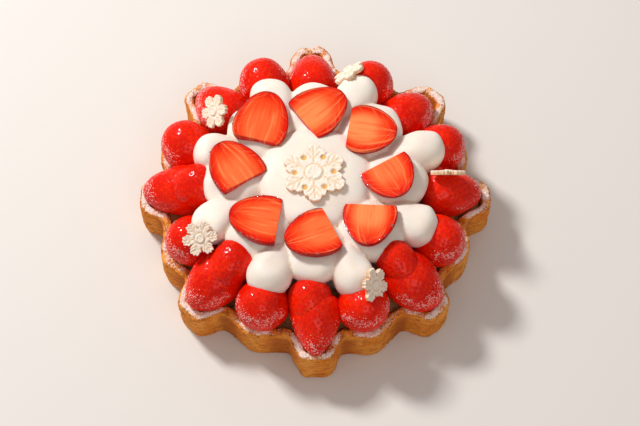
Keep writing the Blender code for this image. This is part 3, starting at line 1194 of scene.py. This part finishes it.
@dataclass
class Strawberries:
    """All the strawberries, whole ones in two tiers and halves on the cream."""

    outline: Outline
    pit_depth: float = 0.26
    rest_height: float = 17.95
    half_depth: float = 0.8
    cut_rounding: float = 0.35
    lid: float = 10.0
    seed_sizes: Triple = (0.52, 0.31, 0.2)
    seed_rise: float = 0.1
    frost_depths: Pair = (12.5, 6.0)
    frost_heights: Pair = (48.0, 42.0)
    less_behind: float = 6.0
    whole: tuple[Strawberry, ...] = (
        Strawberry("berry_lobe_0", 0.5, 79.8, 30.5, 28, 34.5, 0, 10, 0.42),
        Strawberry("berry_lobe_1", 44.5, 78, 31, 30, 35, 3, 12, 0.2),
        Strawberry("berry_lobe_2", 91, 76, 31, 28, 34, 0, 8, 0.25),
        Strawberry("berry_lobe_3", 134, 74.5, 30, 28.5, 32, 0, 8, 0.25),
        Strawberry("berry_lobe_4", 181, 77, 29, 27.5, 32.5, 0, 8, 0.25),
        Strawberry("berry_lobe_5", 224, 77.5, 30, 28.5, 34, 0, 9, 0.25),
        Strawberry("berry_lobe_6", 268, 78.5, 30.5, 28, 36, 0, 10, 0.28),
        Strawberry("berry_lobe_7", 315, 78, 31, 29.5, 36, 0, 12, 0.24),
        Strawberry("berry_bulge_0", 20.5, 76.5, 35.5, 28.5, 30, 0, -50, 0.1),
        Strawberry("berry_bulge_1", 65.5, 75.5, 35.5, 29, 30, 0, -45, 0.1),
        Strawberry("berry_bulge_2", 111, 75.5, 35.5, 28, 29.5, 0, -45, 0.1),
        Strawberry("berry_bulge_3", 155.5, 75.5, 35, 28, 29.5, 0, -45, 0.1),
        Strawberry("berry_bulge_4", 202.5, 76, 35, 29, 30, 0, -45, 0.1),
        Strawberry("berry_bulge_5", 248, 77.5, 35.5, 29, 30, 0, -55, 0.1),
        Strawberry("berry_bulge_6", 294.5, 75, 35, 28, 29, 0, -45, 0.1),
        Strawberry("berry_bulge_7", 338, 76, 35.2, 29, 30, 0, -50, 0.1),
        Strawberry("berry_upper_0", 358, 70, 37, 24, 25, 0, 8, 0.15),
        Strawberry("berry_upper_1", 43.5, 68, 41.5, 21, 28, 0, 14, 0.2),
        Strawberry("berry_upper_6", 269, 66, 39, 25, 28, 0, 10, 0.1),
        Strawberry("berry_upper_7", 317, 67.5, 41, 23.5, 28, 0, 14, 0.15),
    )
    halves: tuple[Strawberry, ...] = (
        Strawberry("half_0", 359, 38.3, 57.5, 30, 32, -65, 0, 0.24, 11.5, 8, 0.45),
        Strawberry("half_1", 44.5, 42.5, 57.5, 29.5, 31, -50, 0, 0.24, 10, 7, 0.85),
        Strawberry("half_2", 87, 41.5, 57.5, 29, 29, -59, 0, 0.24, 9, 7, 0.5),
        Strawberry("half_3", 131, 41, 57.3, 29.5, 30, -50, 0, 0.24, 12, 4, 0.9),
        Strawberry("half_4", 176, 40, 57.3, 29.5, 34, -49, 0, 0.24, 11.5, 3, 0.9),
        Strawberry("half_5", 220.3, 44.6, 57.3, 30.5, 35, -54, 0, 0.24, 13.5, 3, 0.3),
        Strawberry("half_6", 264.8, 44, 57.3, 30, 33, -52, 0, 0.24, 11, 5, 0.45),
        Strawberry("half_7", 313.6, 41.5, 57.5, 30.5, 32.5, -52, 0, 0.24, 11, 7, 0.4),
    )
    seeds: list[Matrix] = field(default_factory=list)
    whole_objects: list[Object] = field(default_factory=list)
    half_objects: list[Object] = field(default_factory=list)

    def sink_pits(self, obj: Object, berry: Strawberry, share: np.ndarray | float = 1.0) -> np.ndarray:
        """Makes a skin uneven and sinks a pit round each seed, and notes where the seeds lie.

        Args:
            obj: The mesh, in the strawberry's own frame.
            berry: The strawberry.
            share: How much of this each vertex takes, from 0 to 1.

        Returns:
            The seeds' places in the strawberry's own frame.
        """
        points = points_of(obj)
        normals = normals_of(obj)
        seeds = berry.seed_places()
        pits = berry.closeness(points, seeds)
        relief = Unevenness(19, 0.13, berry.seed, waves=12).at(points)
        relief -= pits * self.pit_depth * MM
        points += normals * (relief * share)[:, None]
        move_points(obj, points)
        nearest = squared_distances(points, seeds).argmin(axis=0)
        shares = np.broadcast_to(share, len(points))
        along = berry.matrix().to_3x3() @ Vector((1, 0, 0))
        world = placed(points, berry.matrix())
        turned = normals @ np.array(berry.matrix().to_3x3()).T
        sizes = tuple(size * MM for size in self.seed_sizes)
        for index in nearest[shares[nearest] > 0.5]:
            above = world[index] + turned[index] * self.seed_rise * MM
            self.seeds.append(standing_on(above, turned[index], along, sizes))
        return seeds

    def keep_readings(self, obj: Object, berry: Strawberry, seeds: np.ndarray) -> None:
        """Notes for the material where pits are, and where the tart was dusted with sugar.

        Args:
            obj: The mesh, in its place.
            berry: The strawberry.
            seeds: The seeds' places in the strawberry's own frame.
        """
        points = points_of(obj)
        own = placed(points, berry.matrix().inverted())
        keep_reading(obj, "pit", berry.closeness(own, seeds))
        deeper_behind = self.less_behind * eased(0, 60 * MM, points[:, 1])
        near_rim = eased(*self.frost_depths, self.outline.depth_inside(points) - deeper_behind)
        facing_up = eased(-0.2, 0.35, normals_of(obj)[:, 2])
        patches = eased(-1.6, 0.9, Unevenness(6, 1 / MM, berry.seed).at(points))
        low = eased(*self.frost_heights, points[:, 2] / MM)
        keep_reading(obj, "frost", near_rim * facing_up * (0.7 + 0.3 * patches) * low)

    def build_half(self, berry: Strawberry) -> Object:
        """Makes a half strawberry with its cut face up.

        Args:
            berry: The strawberry.

        Returns:
            The half.
        """
        name = berry.node.replace("half", "strawberry_half")
        add = bpy.ops.mesh.primitive_uv_sphere_add
        obj = add_primitive(name, add, segments=96, ring_count=64, radius=1)
        points = berry.shaped(points_of(obj))
        above = points[:, 2] > -FLAT
        points[:, 2] *= self.half_depth
        points[above, 2] = 0
        move_points(obj, points)
        cut_flat(obj, Vector((-berry.stem_cut * MM, 0, 0)), Vector((-1, 0, 0)))
        points = points_of(obj)
        along = points[:, 0] / (berry.length / 2 * MM)
        thick = np.maximum(berry.fullness(np.clip(along, -1, 1)) * berry.width / 2, 0.01)
        sideways = np.clip(points[:, 1] / MM / thick, -1, 1)
        on_cut = points[:, 2] > -FLAT
        inside = np.minimum((1 - np.abs(sideways)) * thick, (1 - along) * berry.length / 2 * 0.7)
        readings = {
            "lengthwise": along,
            "sideways": sideways,
            "from_skin": np.where(on_cut, np.maximum(inside, 0), 0) / 10,
            "paleness": np.full(len(points), berry.paleness),
            "which": np.full(len(points), berry.azimuth / 45),
            "frost": np.zeros(len(points)),
        }
        for reading, values in readings.items():
            keep_reading(obj, reading, values)
        rounding = self.cut_rounding * MM * np.abs(sideways) ** 10
        points[on_cut, 2] -= rounding[on_cut]
        move_points(obj, points)
        below = eased(-0.4 * MM, -1.6 * MM, points[:, 2])
        stem = -berry.stem_cut * MM
        away_from_stem = eased(stem + 0.2 * MM, stem + 1.5 * MM, points[:, 0])
        seeds = self.sink_pits(obj, berry, below * away_from_stem)
        cut_faces = self.find_cut_faces(obj, berry)
        move_points(obj, placed(points_of(obj), berry.matrix()))
        keep_reading(obj, "pit", berry.closeness(points, seeds) * below)
        obj.data.polygons.foreach_set("material_index", cut_faces.astype(np.int32))
        self.half_objects.append(obj)
        return obj

    def find_cut_faces(self, obj: Object, berry: Strawberry) -> np.ndarray:
        """Tells the cut faces of a half from its skin.

        Args:
            obj: The half, in its own frame.
            berry: The strawberry.

        Returns:
            One True or False for each face.
        """
        centres = np.array([list(face.center) for face in obj.data.polygons])
        facing = np.array([list(face.normal) for face in obj.data.polygons])
        upwards = (centres[:, 2] > -0.36 * MM) & (facing[:, 2] > 0.8)
        at_stem = (centres[:, 0] < (0.1 - berry.stem_cut) * MM) & (facing[:, 0] < -0.9)
        return upwards | at_stem

    def lidded_half(self, obj: Object, berry: Strawberry) -> Object:
        """Copies a half and draws its cut face up, to keep the space over it free.

        Args:
            obj: The half, in its place.
            berry: The strawberry.

        Returns:
            The copy, a helper for cuts.
        """
        lidded = obj.copy()
        lidded.data = obj.data.copy()
        bpy.context.scene.collection.objects.link(lidded)
        own = placed(points_of(lidded), berry.matrix().inverted())
        own[own[:, 2] > -0.4 * MM, 2] += self.lid * MM
        move_points(lidded, placed(own, berry.matrix()))
        return lidded

    def block_below(self, berry: Strawberry) -> Object:
        """Makes a block that gives a strawberry its flat underside.

        Args:
            berry: The strawberry.

        Returns:
            The block, a helper for cuts.
        """
        size = 2 * berry.length * MM
        top = on_tart(berry.azimuth, berry.radius, self.rest_height)
        middle = top - Vector((0, 0, size / 2))
        return add_primitive("block_below", bpy.ops.mesh.primitive_cube_add, size=size, location=middle)

    def build_whole(self, berry: Strawberry, room: list[Object]) -> Object:
        """Makes a whole strawberry that leaves room for what is laid before it.

        Args:
            berry: The strawberry.
            room: The meshes that it gives way to.

        Returns:
            The strawberry.
        """
        name = berry.node.replace("berry", "strawberry")
        obj = add_primitive(name, bpy.ops.mesh.primitive_ico_sphere_add, subdivisions=6, radius=1)
        move_points(obj, berry.shaped(points_of(obj)))
        seeds = self.sink_pits(obj, berry)
        move_points(obj, placed(points_of(obj), berry.matrix()))
        below = self.block_below(berry)
        combine(obj, [below, *room], Joining.CUT)
        remove_all([below])
        obj = keep_largest(obj)
        obj.data.materials.clear()
        self.keep_readings(obj, berry, seeds)
        self.whole_objects.append(obj)
        return obj

    def near(self, berry: Strawberry, others: Iterable[Strawberry]) -> list[int]:
        """Finds the strawberries that may touch this one.

        Args:
            berry: The strawberry.
            others: The other strawberries.

        Returns:
            Their numbers.
        """
        middle = berry.matrix().translation
        return [
            number
            for number, other in enumerate(others)
            if (other.matrix().translation - middle).length < (berry.length + other.length) / 2 * MM
        ]


@dataclass(frozen=True)
class Drop:
    """A piped drop of cream: its middle and its half sizes, out from the axis, across and up.

    The tail draws its inner side towards the axis by that share, and the crown is the share of its rise
    that its upper half keeps.
    """

    azimuth: float
    radius: float
    height: float
    reach: float
    across: float
    rise: float
    tail: float = 1.0
    crown: float = 1.0


@dataclass
class Cream:
    """The whipped cream: a foot, a flat mound and two rings of piped drops."""

    squareness: float = 0.82
    foot_radii: Pair = (54.0, 45.0)
    foot_heights: Pair = (18.2, 47.0)
    mound_sizes: Pair = (32.0, 10.0)
    mound_top: float = 56.2
    mound_squareness: float = 0.6
    voxel: float = 0.9
    softening: int = 5
    crease_shade_shifts: Pair = (0.06, 0.34)
    drop_seed_step: int = 7
    large: tuple[Drop, ...] = tuple(
        Drop(45.0 * number, 45, 46.5, 17.5, 17.5, 10.5, 1.2, 0.74) for number in range(8)
    )
    small: tuple[Drop, ...] = (
        Drop(20, 62, 45, 12, 11, 10, 1.7),
        Drop(64, 62.5, 45, 12, 12, 10, 1.7),
        Drop(108, 63, 45, 12.5, 12, 11, 1.7),
        Drop(157, 61, 45, 12, 12, 10.5, 1.7),
        Drop(204.5, 58.5, 45, 12, 12, 10.5, 1.7),
        Drop(252, 58.5, 45, 12, 11.5, 10.5, 1.7),
        Drop(294.6, 60.5, 45, 12, 12, 10, 1.7),
        Drop(337, 63, 45, 12, 12, 10, 1.7),
    )

    def squared_ball(self, name: str, squareness: float) -> Object:
        """Adds a ball whose sides and top are flattened.

        Args:
            name: The object's name.
            squareness: 1 leaves it round, and less flattens it.

        Returns:
            The ball, one metre in radius.
        """
        add = bpy.ops.mesh.primitive_uv_sphere_add
        ball = add_primitive(name, add, segments=72, ring_count=48, radius=1)
        points = points_of(ball)
        ring = np.maximum(np.hypot(points[:, 0], points[:, 1]), LEAST_LENGTH)
        points[:, :2] *= (ring ** (squareness - 1))[:, None]
        points[:, 2] = np.sign(points[:, 2]) * np.abs(points[:, 2]) ** squareness
        move_points(ball, points)
        return ball

    def build_drop(self, drop: Drop) -> Object:
        """Makes one piped drop, drawn in towards the axis where the nozzle left it.

        Args:
            drop: The drop's place and sizes.

        Returns:
            The drop.
        """
        obj = self.squared_ball("drop", self.squareness)
        points = points_of(obj)
        points[:, 0] *= np.where(points[:, 0] < 0, drop.tail, 1)
        points[:, 2] *= np.where(points[:, 2] > 0, drop.crown, 1)
        points *= np.array([drop.reach, drop.across, drop.rise]) * MM
        seed = int(drop.azimuth * self.drop_seed_step + drop.radius)
        points += Unevenness(16, 0.25, seed).at(points)[:, None]
        facing = Matrix.Rotation(math.radians(drop.azimuth - 90), 4, "Z")
        middle = Matrix.Translation(on_tart(drop.azimuth, drop.radius, drop.height))
        move_points(obj, placed(points, middle @ facing))
        return obj

    def build_mound(self) -> Object:
        """Makes the flat mound in the middle.

        Returns:
            The mound.
        """
        obj = self.squared_ball("mound", self.mound_squareness)
        radius, height = self.mound_sizes
        points = points_of(obj) * np.array([radius, radius, height]) * MM
        points[:, 2] += (self.mound_top - height) * MM
        move_points(obj, points)
        return obj

    def build(self, room: list[Object]) -> Object:
        """Makes the cream as one mesh with soft creases between the drops.

        Args:
            room: The meshes that the cream gives way to.

        Returns:
            The cream.
        """
        low, high = self.foot_heights
        cream = add_primitive(
            "whipped_cream",
            bpy.ops.mesh.primitive_cone_add,
            vertices=96,
            radius1=self.foot_radii[0] * MM,
            radius2=self.foot_radii[1] * MM,
            depth=(high - low) * MM,
        )
        move_points(cream, points_of(cream) + np.array([0, 0, (low + high) / 2 * MM]))
        pieces = [self.build_mound()] + [self.build_drop(drop) for drop in self.large + self.small]
        combine(cream, pieces, Joining.JOIN)
        remove_all(pieces)
        select_only(cream)
        cream.data.remesh_voxel_size = self.voxel * MM
        bpy.ops.object.voxel_remesh()
        sharp = points_of(cream)
        apply_modifier(cream, "SMOOTH", factor=0.5, iterations=self.softening)
        points = points_of(cream)
        normals = normals_of(cream)
        # How far each point is sunk against the unsmoothed mesh, for the painted shade in the creases.
        crease_shade_amounts = eased(*self.crease_shade_shifts, ((points - sharp) * normals).sum(axis=1) / MM)
        above_foot = eased(20 * MM, 30 * MM, points[:, 2])
        relief = Unevenness(22, 0.2, 8).at(points) * above_foot
        move_points(cream, points + normals * relief[:, None])
        combine(cream, room, Joining.CUT)
        cream = keep_largest(cream)
        cream.data.materials.clear()
        tree = KDTree(len(points))
        for number, point in enumerate(points):
            tree.insert(point, number)
        tree.balance()
        keep_reading(cream, "crease_shade", crease_shade_amounts[[tree.find(point)[1] for point in points_of(cream)]])
        return cream


@dataclass(frozen=True)
class Snowflake:
    """A six-armed sugar snowflake: its middle, the way its face looks, its turn about that, and its size.

    Each corner of an arm's edge is (angle from the arm, share of the radius). A large one has finer steps
    and deeper hollows between its arms. The underside is how much further down its lower face lies.
    """

    node: str
    azimuth: float
    radius: float
    height: float
    face_azimuth: float
    face_elevation: float
    spin: float
    size: float = 10.0
    thickness: float = 2.4
    arm: tuple[Pair, ...] = (
        (0, 1),
        (6, 0.92),
        (12, 0.98),
        (17, 0.86),
        (20, 0.74),
        (24, 0.8),
        (30, 0.54),
    )
    underside: float = 0.0
    large_from: float = 12.0

    @property
    def is_large(self) -> bool:
        """Whether this is a large snowflake."""
        return self.size > self.large_from

    def matrix(self) -> Matrix:
        """Lays the flake's face, which looks along its own +Z, in its place."""
        spun = Matrix.Rotation(math.radians(self.spin), 4, "Z")
        tipped = Matrix.Rotation(math.radians(90 - self.face_elevation), 4, "X")
        facing = Matrix.Rotation(math.radians(self.face_azimuth), 4, "Z")
        middle = Matrix.Translation(on_tart(self.azimuth, self.radius, self.height))
        return middle @ facing @ tipped @ spun

    def relief(self, turns: np.ndarray, reach: np.ndarray) -> tuple[np.ndarray, np.ndarray]:
        """Works out the moulded relief of the face.

        Args:
            turns: Angles in degrees, with the first arm at 0.
            reach: Distances from the middle, as shares of the size.

        Returns:
            How far each place is raised and how far it is sunk, in millimetres.
        """
        off_arm = np.radians((turns + 30) % 60 - 30)
        beside = np.abs(reach * np.sin(off_arm))
        along = reach * np.cos(off_arm)
        line = 0.028 + 0.12 / self.size
        on_arm = eased(0.3, 0.36, along) * eased(0.95, 0.88, along)
        sunk = 0.32 * np.exp(-((beside / line) ** 2)) * on_arm
        for start in (0.46, 0.66):
            off_line = (along - start - beside) / 1.4
            sunk = np.maximum(sunk, 0.3 * np.exp(-((off_line / line) ** 2)) * eased(0.24, 0.18, beside))
        sunk = np.maximum(sunk, 0.35 * np.exp(-(((reach - 0.285) / line) ** 2)))
        between = np.radians(turns % 60 - 30)
        across = np.hypot(reach * np.cos(between) - 0.58, reach * np.sin(between))
        hollow = 1.0 if self.is_large else 0.5
        sunk = np.maximum(sunk, hollow * np.exp(-((across / 0.085) ** 4)))
        raised = 0.5 * eased(0.25, 0.21, reach) - 0.22 * eased(0.17, 0.13, reach)
        return raised, sunk

    def build(self) -> Object:
        """Makes the snowflake.

        Returns:
            The snowflake.
        """
        steps, count = (288, 40) if self.is_large else (192, 26)
        half = self.thickness / 2
        shares = np.concatenate([[0.9, 0.985, 1, 1, 1, 0.985], np.linspace(0.96, 0.01, count)])
        side_falls = [-half, -half, 0.3 - half, 0, half - 0.35, half - 0.08]
        falls = np.concatenate([side_falls, np.full(count, half)])
        falls[:2] -= self.underside
        corners = np.array(self.arm)
        rng = np.random.default_rng(int(self.azimuth) + 11)
        lengths = rng.uniform(0.97, 1.0, 6)

        def place(turns: np.ndarray, numbers: np.ndarray) -> np.ndarray:
            """Puts the grid's points on the flake, in its own frame."""
            degrees = turns * 360
            off_arm = np.abs((degrees + 30) % 60 - 30)
            length = lengths[((degrees + 30) // 60 % 6).astype(int)]
            edge = np.interp(off_arm, corners[:, 0], corners[:, 1]) * length
            reach = edge * shares[numbers]
            raised, sunk = self.relief(degrees, reach)
            heights = falls[numbers] + np.where(numbers >= 5, raised - sunk, 0)
            flat = np.stack([np.cos(np.radians(degrees)), np.sin(np.radians(degrees))], 1)
            return np.column_stack([flat * (reach * self.size)[:, None], heights]) * MM

        obj = wrapped_grid(self.node.replace("snowflake", "sugar_snowflake"), steps, len(shares), place)
        points = points_of(obj)
        turns = np.degrees(np.arctan2(points[:, 1], points[:, 0]))
        reach = np.hypot(points[:, 0], points[:, 1]) / (self.size * MM)
        sunk = self.relief(turns, reach)[1]
        # The sunk relief and the flake's sides are kept for the paste's painted shade there.
        side = eased(half * 0.7, half * 0.2, points[:, 2] / MM) * 0.45
        keep_reading(obj, "hollow", np.maximum(np.where(points[:, 2] > 0, sunk, 0), side))
        points += normals_of(obj) * Unevenness(2.2, 0.05, 21).at(points)[:, None]
        move_points(obj, placed(points, self.matrix()))
        return obj


LARGE_ARM = ((0, 1), (10, 0.96), (14, 0.84), (21, 0.86), (27, 0.76), (30, 0.7))


@dataclass(frozen=True)
class Snowflakes:
    """The snowflakes on the tart."""

    flakes: tuple[Snowflake, ...] = (
        Snowflake("snowflake_large", 0, 1, 57.5, 0, 90, 32, 18.5, 2.2, LARGE_ARM, 0.6),
        Snowflake("snowflake_0", 26, 74, 51, 68, 35, 0),
        Snowflake("snowflake_2", 93, 74, 49, 180, 28, 10),
        Snowflake("snowflake_3", 164, 71, 50, 225, 42, 0),
        Snowflake("snowflake_5", 233, 70, 51, 295, 40, 0),
        Snowflake("snowflake_6", 302, 73, 52, 0, 62, 10),
    )

    def build(self) -> list[Object]:
        """Makes all the snowflakes."""
        return [flake.build() for flake in self.flakes]



@dataclass
class Trimmings:
    """What is too small for the solids: seeds, sugar grains and drops of glaze."""

    grains_on_crust: int = 2600
    grains_on_berry: int = 95
    grain_sizes: Pair = (0.12, 0.26)
    grain_draw: int = 31
    least_frost: float = 0.3
    beads_on_half: int = 13
    bead_sizes: Pair = (0.25, 0.6)
    bead_draw: int = 47
    lowest_seed: float = 19.0
    reach: float = 4.0
    slack: float = 0.15

    def surfaces(self, objects: Iterable[Object]) -> list[BVHTree]:
        """Makes the trees that tell whether a point is inside a mesh.

        Args:
            objects: The meshes.

        Returns:
            One tree for each.
        """
        graph = bpy.context.evaluated_depsgraph_get()
        return [BVHTree.FromObject(obj, graph) for obj in objects]

    def buried(self, point: Vector, trees: list[BVHTree]) -> bool:
        """Tells whether a point is inside a mesh.

        Args:
            point: The point.
            trees: The meshes' trees.

        Returns:
            True if one of them holds the point.
        """
        for tree in trees:
            near, normal, _, distance = tree.find_nearest(point, self.reach * MM)
            if near is not None and (point - near).dot(normal) < 0 and distance > self.slack * MM:
                return True
        return False

    def build_seeds(self, places: list[Matrix], trees: list[BVHTree]) -> Object:
        """Makes the seeds that show.

        Args:
            places: Where all the seeds lie.
            trees: The trees of what may cover them.

        Returns:
            The seeds, as one mesh.
        """
        seed = add_primitive("seed", bpy.ops.mesh.primitive_ico_sphere_add, subdivisions=1, radius=1)
        shown = []
        for matrix in places:
            above = matrix.translation + matrix.to_3x3() @ Vector((0, 0, 1.4))
            if above.z > self.lowest_seed * MM and not self.buried(above, trees):
                shown.append(matrix)
        return joined_copies("strawberry_seeds", seed, shown)

    def build_grains(self, crust: Object, berries: list[Object]) -> Object:
        """Strews grains of sugar where the tart was dusted.

        Args:
            crust: The crust, whose rim is dusted.
            berries: The whole strawberries.

        Returns:
            The grains, as one mesh.
        """
        grain = add_primitive("grain", bpy.ops.mesh.primitive_ico_sphere_add, subdivisions=1, radius=1)
        rng = np.random.default_rng(self.grain_draw)
        places = []
        wanted = [(crust, self.grains_on_crust)] + [(berry, self.grains_on_berry) for berry in berries]
        for obj, count in wanted:
            frost = reading_of(obj, "frost")
            dusted = np.flatnonzero(frost > self.least_frost)
            if not len(dusted):
                continue
            weights = frost[dusted] / frost[dusted].sum()
            points = points_of(obj)
            normals = normals_of(obj)
            for index in rng.choice(dusted, min(count, len(dusted)), replace=False, p=weights):
                size = rng.uniform(*self.grain_sizes) * MM
                sizes = (size, size * rng.uniform(0.7, 1), size * rng.uniform(0.6, 0.9))
                spot = points[index] + normals[index] * size * 0.3
                places.append(standing_on(spot, normals[index], Vector(rng.normal(size=3)), sizes))
        return joined_copies("sugar_grains", grain, places)

    def build_beads(self, halves: Iterable[Strawberry]) -> Object:
        """Sets drops of glaze along the edges of the cut faces.

        Args:
            halves: The half strawberries.

        Returns:
            The drops, as one mesh.
        """
        bead = add_primitive("bead", bpy.ops.mesh.primitive_ico_sphere_add, subdivisions=2, radius=1)
        rng = np.random.default_rng(self.bead_draw)
        places = []
        for half in halves:
            stem = -half.stem_cut / (half.length / 2)
            for _ in range(self.beads_on_half):
                along = rng.uniform(stem + 0.1, 0.93)
                side = rng.choice([-1, 1])
                reach = half.fullness(np.array([along]))[0] * half.width / 2 - rng.uniform(0.1, 1.1)
                own = Vector((along * half.length / 2, side * reach, -0.1)) * MM
                size = rng.uniform(*self.bead_sizes) * MM
                spin = Vector(rng.normal(size=3))
                sizes = (size * rng.uniform(1, 1.7), size, size * 0.75)
                places.append(standing_on(half.matrix() @ own, np.array([0, 0, 1]), spin, sizes))
        return joined_copies("glaze_drops", bead, places)


@dataclass(frozen=True)
class Light:
    """A square light that looks at the tart: its place and side in metres, and its power in watts."""

    name: str
    place: Triple
    size: float
    power: float
    colour: Colour

    def hang(self, target: Vector) -> None:
        """Hangs the light.

        Args:
            target: The point that it looks at.
        """
        bpy.ops.object.light_add(type="AREA", location=self.place)
        light = bpy.context.active_object
        light.name = self.name
        light.data.size = self.size
        light.data.energy = self.power
        light.data.color = self.colour
        light.rotation_euler = (target - Vector(self.place)).to_track_quat("-Z", "Y").to_euler()


@dataclass(frozen=True)
class Studio:
    """The floor, the lights and the camera."""

    camera_elevation: float = 61.6
    camera_distance: float = 1.197
    camera_target: Triple = (0.0031, 0.0051, 0.0)
    camera_lens: float = 117.5
    sensor_width: float = 36.0
    clip_start: float = 0.01
    floor_size: float = 6.0
    floor_colour: Colour = (0.80, 0.78, 0.76)
    key_light: Light = Light("key_light", (-0.8, 0.7, 1.15), 0.26, 20.5, (1.0, 0.97, 0.93))
    front_light: Light = Light("front_light", (0.3, -1.3, 1.5), 1.0, 5.5, (1.0, 0.96, 0.92))
    lit_point: Triple = (0.0, 0.0, 0.03)
    surround: Colour = (1.0, 0.93, 0.87)
    surround_strength: float = 0.34

    def build_floor(self) -> None:
        """Lays the floor."""
        floor = add_primitive("studio_floor", bpy.ops.mesh.primitive_plane_add, size=self.floor_size)
        recipe = Recipe("pale_floor", 0.8)
        recipe.set(Base_Color=(*self.floor_colour, 1))
        floor.data.materials.append(recipe.material)

    def build_lights(self) -> None:
        """Hangs the key light at the upper left, a soft light over the front, and a pale surround."""
        for light in (self.key_light, self.front_light):
            light.hang(Vector(self.lit_point))
        world = bpy.data.worlds.new("pale_surround")
        bpy.context.scene.world = world
        world.use_nodes = True
        background = world.node_tree.nodes["Background"]
        background.inputs["Color"].default_value = (*self.surround, 1)
        background.inputs["Strength"].default_value = self.surround_strength

    def build_camera(self) -> None:
        """Sets up the camera at the photograph's angle."""
        angle = math.radians(self.camera_elevation)
        target = Vector(self.camera_target)
        back = Vector((0, -math.cos(angle), math.sin(angle))) * self.camera_distance
        bpy.ops.object.camera_add(location=target + back, rotation=(math.pi / 2 - angle, 0, 0))
        camera = bpy.context.active_object
        camera.name = "studio_camera"
        camera.data.lens = self.camera_lens
        camera.data.sensor_width = self.sensor_width
        camera.data.clip_start = self.clip_start
        bpy.context.scene.camera = camera
        bpy.context.scene.view_settings.view_transform = "Standard"


def build_tart() -> None:
    """Builds every piece of the tart, from the crust to the sugar grains."""
    shell = Shell()
    crust = shell.build_crust()
    finish_piece(crust, [PastryFinish().material()], ["crust"])
    finish_piece(shell.build_filling(), [FillingFinish().material()], ["filling"])

    skin = SkinFinish().material()
    # Painted shade: the halves' skin is a darker copy of the glazed skin, for the shade under their cut
    # faces.
    shaded_half_skin = SkinFinish(
        "glazed_half_skin_painted_shade",
        red=(0.46, 0.004, 0.001),
        deep=(0.34, 0.002, 0.001),
        bright=(0.60, 0.020, 0.003),
        pit=(0.22, 0.001, 0.001),
    ).material()
    cut = CutFinish().material()
    berries = Strawberries(shell.outline)
    lids = []
    for half in berries.halves:
        obj = berries.build_half(half)
        lids.append(berries.lidded_half(obj, half))
        finish_piece(obj, [shaded_half_skin, cut], [half.node], sharp=50)

    snowflakes = Snowflakes()
    flakes = snowflakes.build()
    sugar_paste = SnowflakeFinish().material()
    for flake, obj in zip(snowflakes.flakes, flakes):
        finish_piece(obj, [sugar_paste], [flake.node], sharp=35)

    laid = []
    for berry in berries.whole:
        room = [crust] + flakes
        room += [lids[number] for number in berries.near(berry, berries.halves)]
        room += [berries.whole_objects[number] for number in berries.near(berry, laid)]
        finish_piece(berries.build_whole(berry, room), [skin], [berry.node])
        laid.append(berry)

    cream = Cream().build(lids + flakes + berries.whole_objects)
    finish_piece(cream, [CreamFinish().material()], ["cream"], sharp=50)
    remove_all(lids)

    trimmings = Trimmings()
    covers = trimmings.surfaces([cream, crust] + flakes + berries.whole_objects + berries.half_objects)
    seeds = trimmings.build_seeds(berries.seeds, covers)
    seed_finish = GrainFinish("strawberry_seed", (0.80, 0.040, 0.004), (0.62, 0.014, 0.002), 0.5)
    finish_piece(seeds, [seed_finish.material()], [])
    grains = trimmings.build_grains(crust, berries.whole_objects)
    grain_finish = GrainFinish("powdered_sugar", (0.96, 0.90, 0.87), (0.92, 0.84, 0.80), 0.9)
    finish_piece(grains, [grain_finish.material()], [])
    beads = trimmings.build_beads(berries.halves)
    finish_piece(beads, [BeadFinish().material()], [], sharp=80)


def main() -> None:
    """Builds the tart and its studio."""
    logging.basicConfig(level=logging.INFO, format="%(name)s %(message)s", stream=sys.stdout)
    build_tart()
    studio = Studio()
    studio.build_floor()
    studio.build_lights()
    studio.build_camera()


if __name__ == "__main__":
    main()
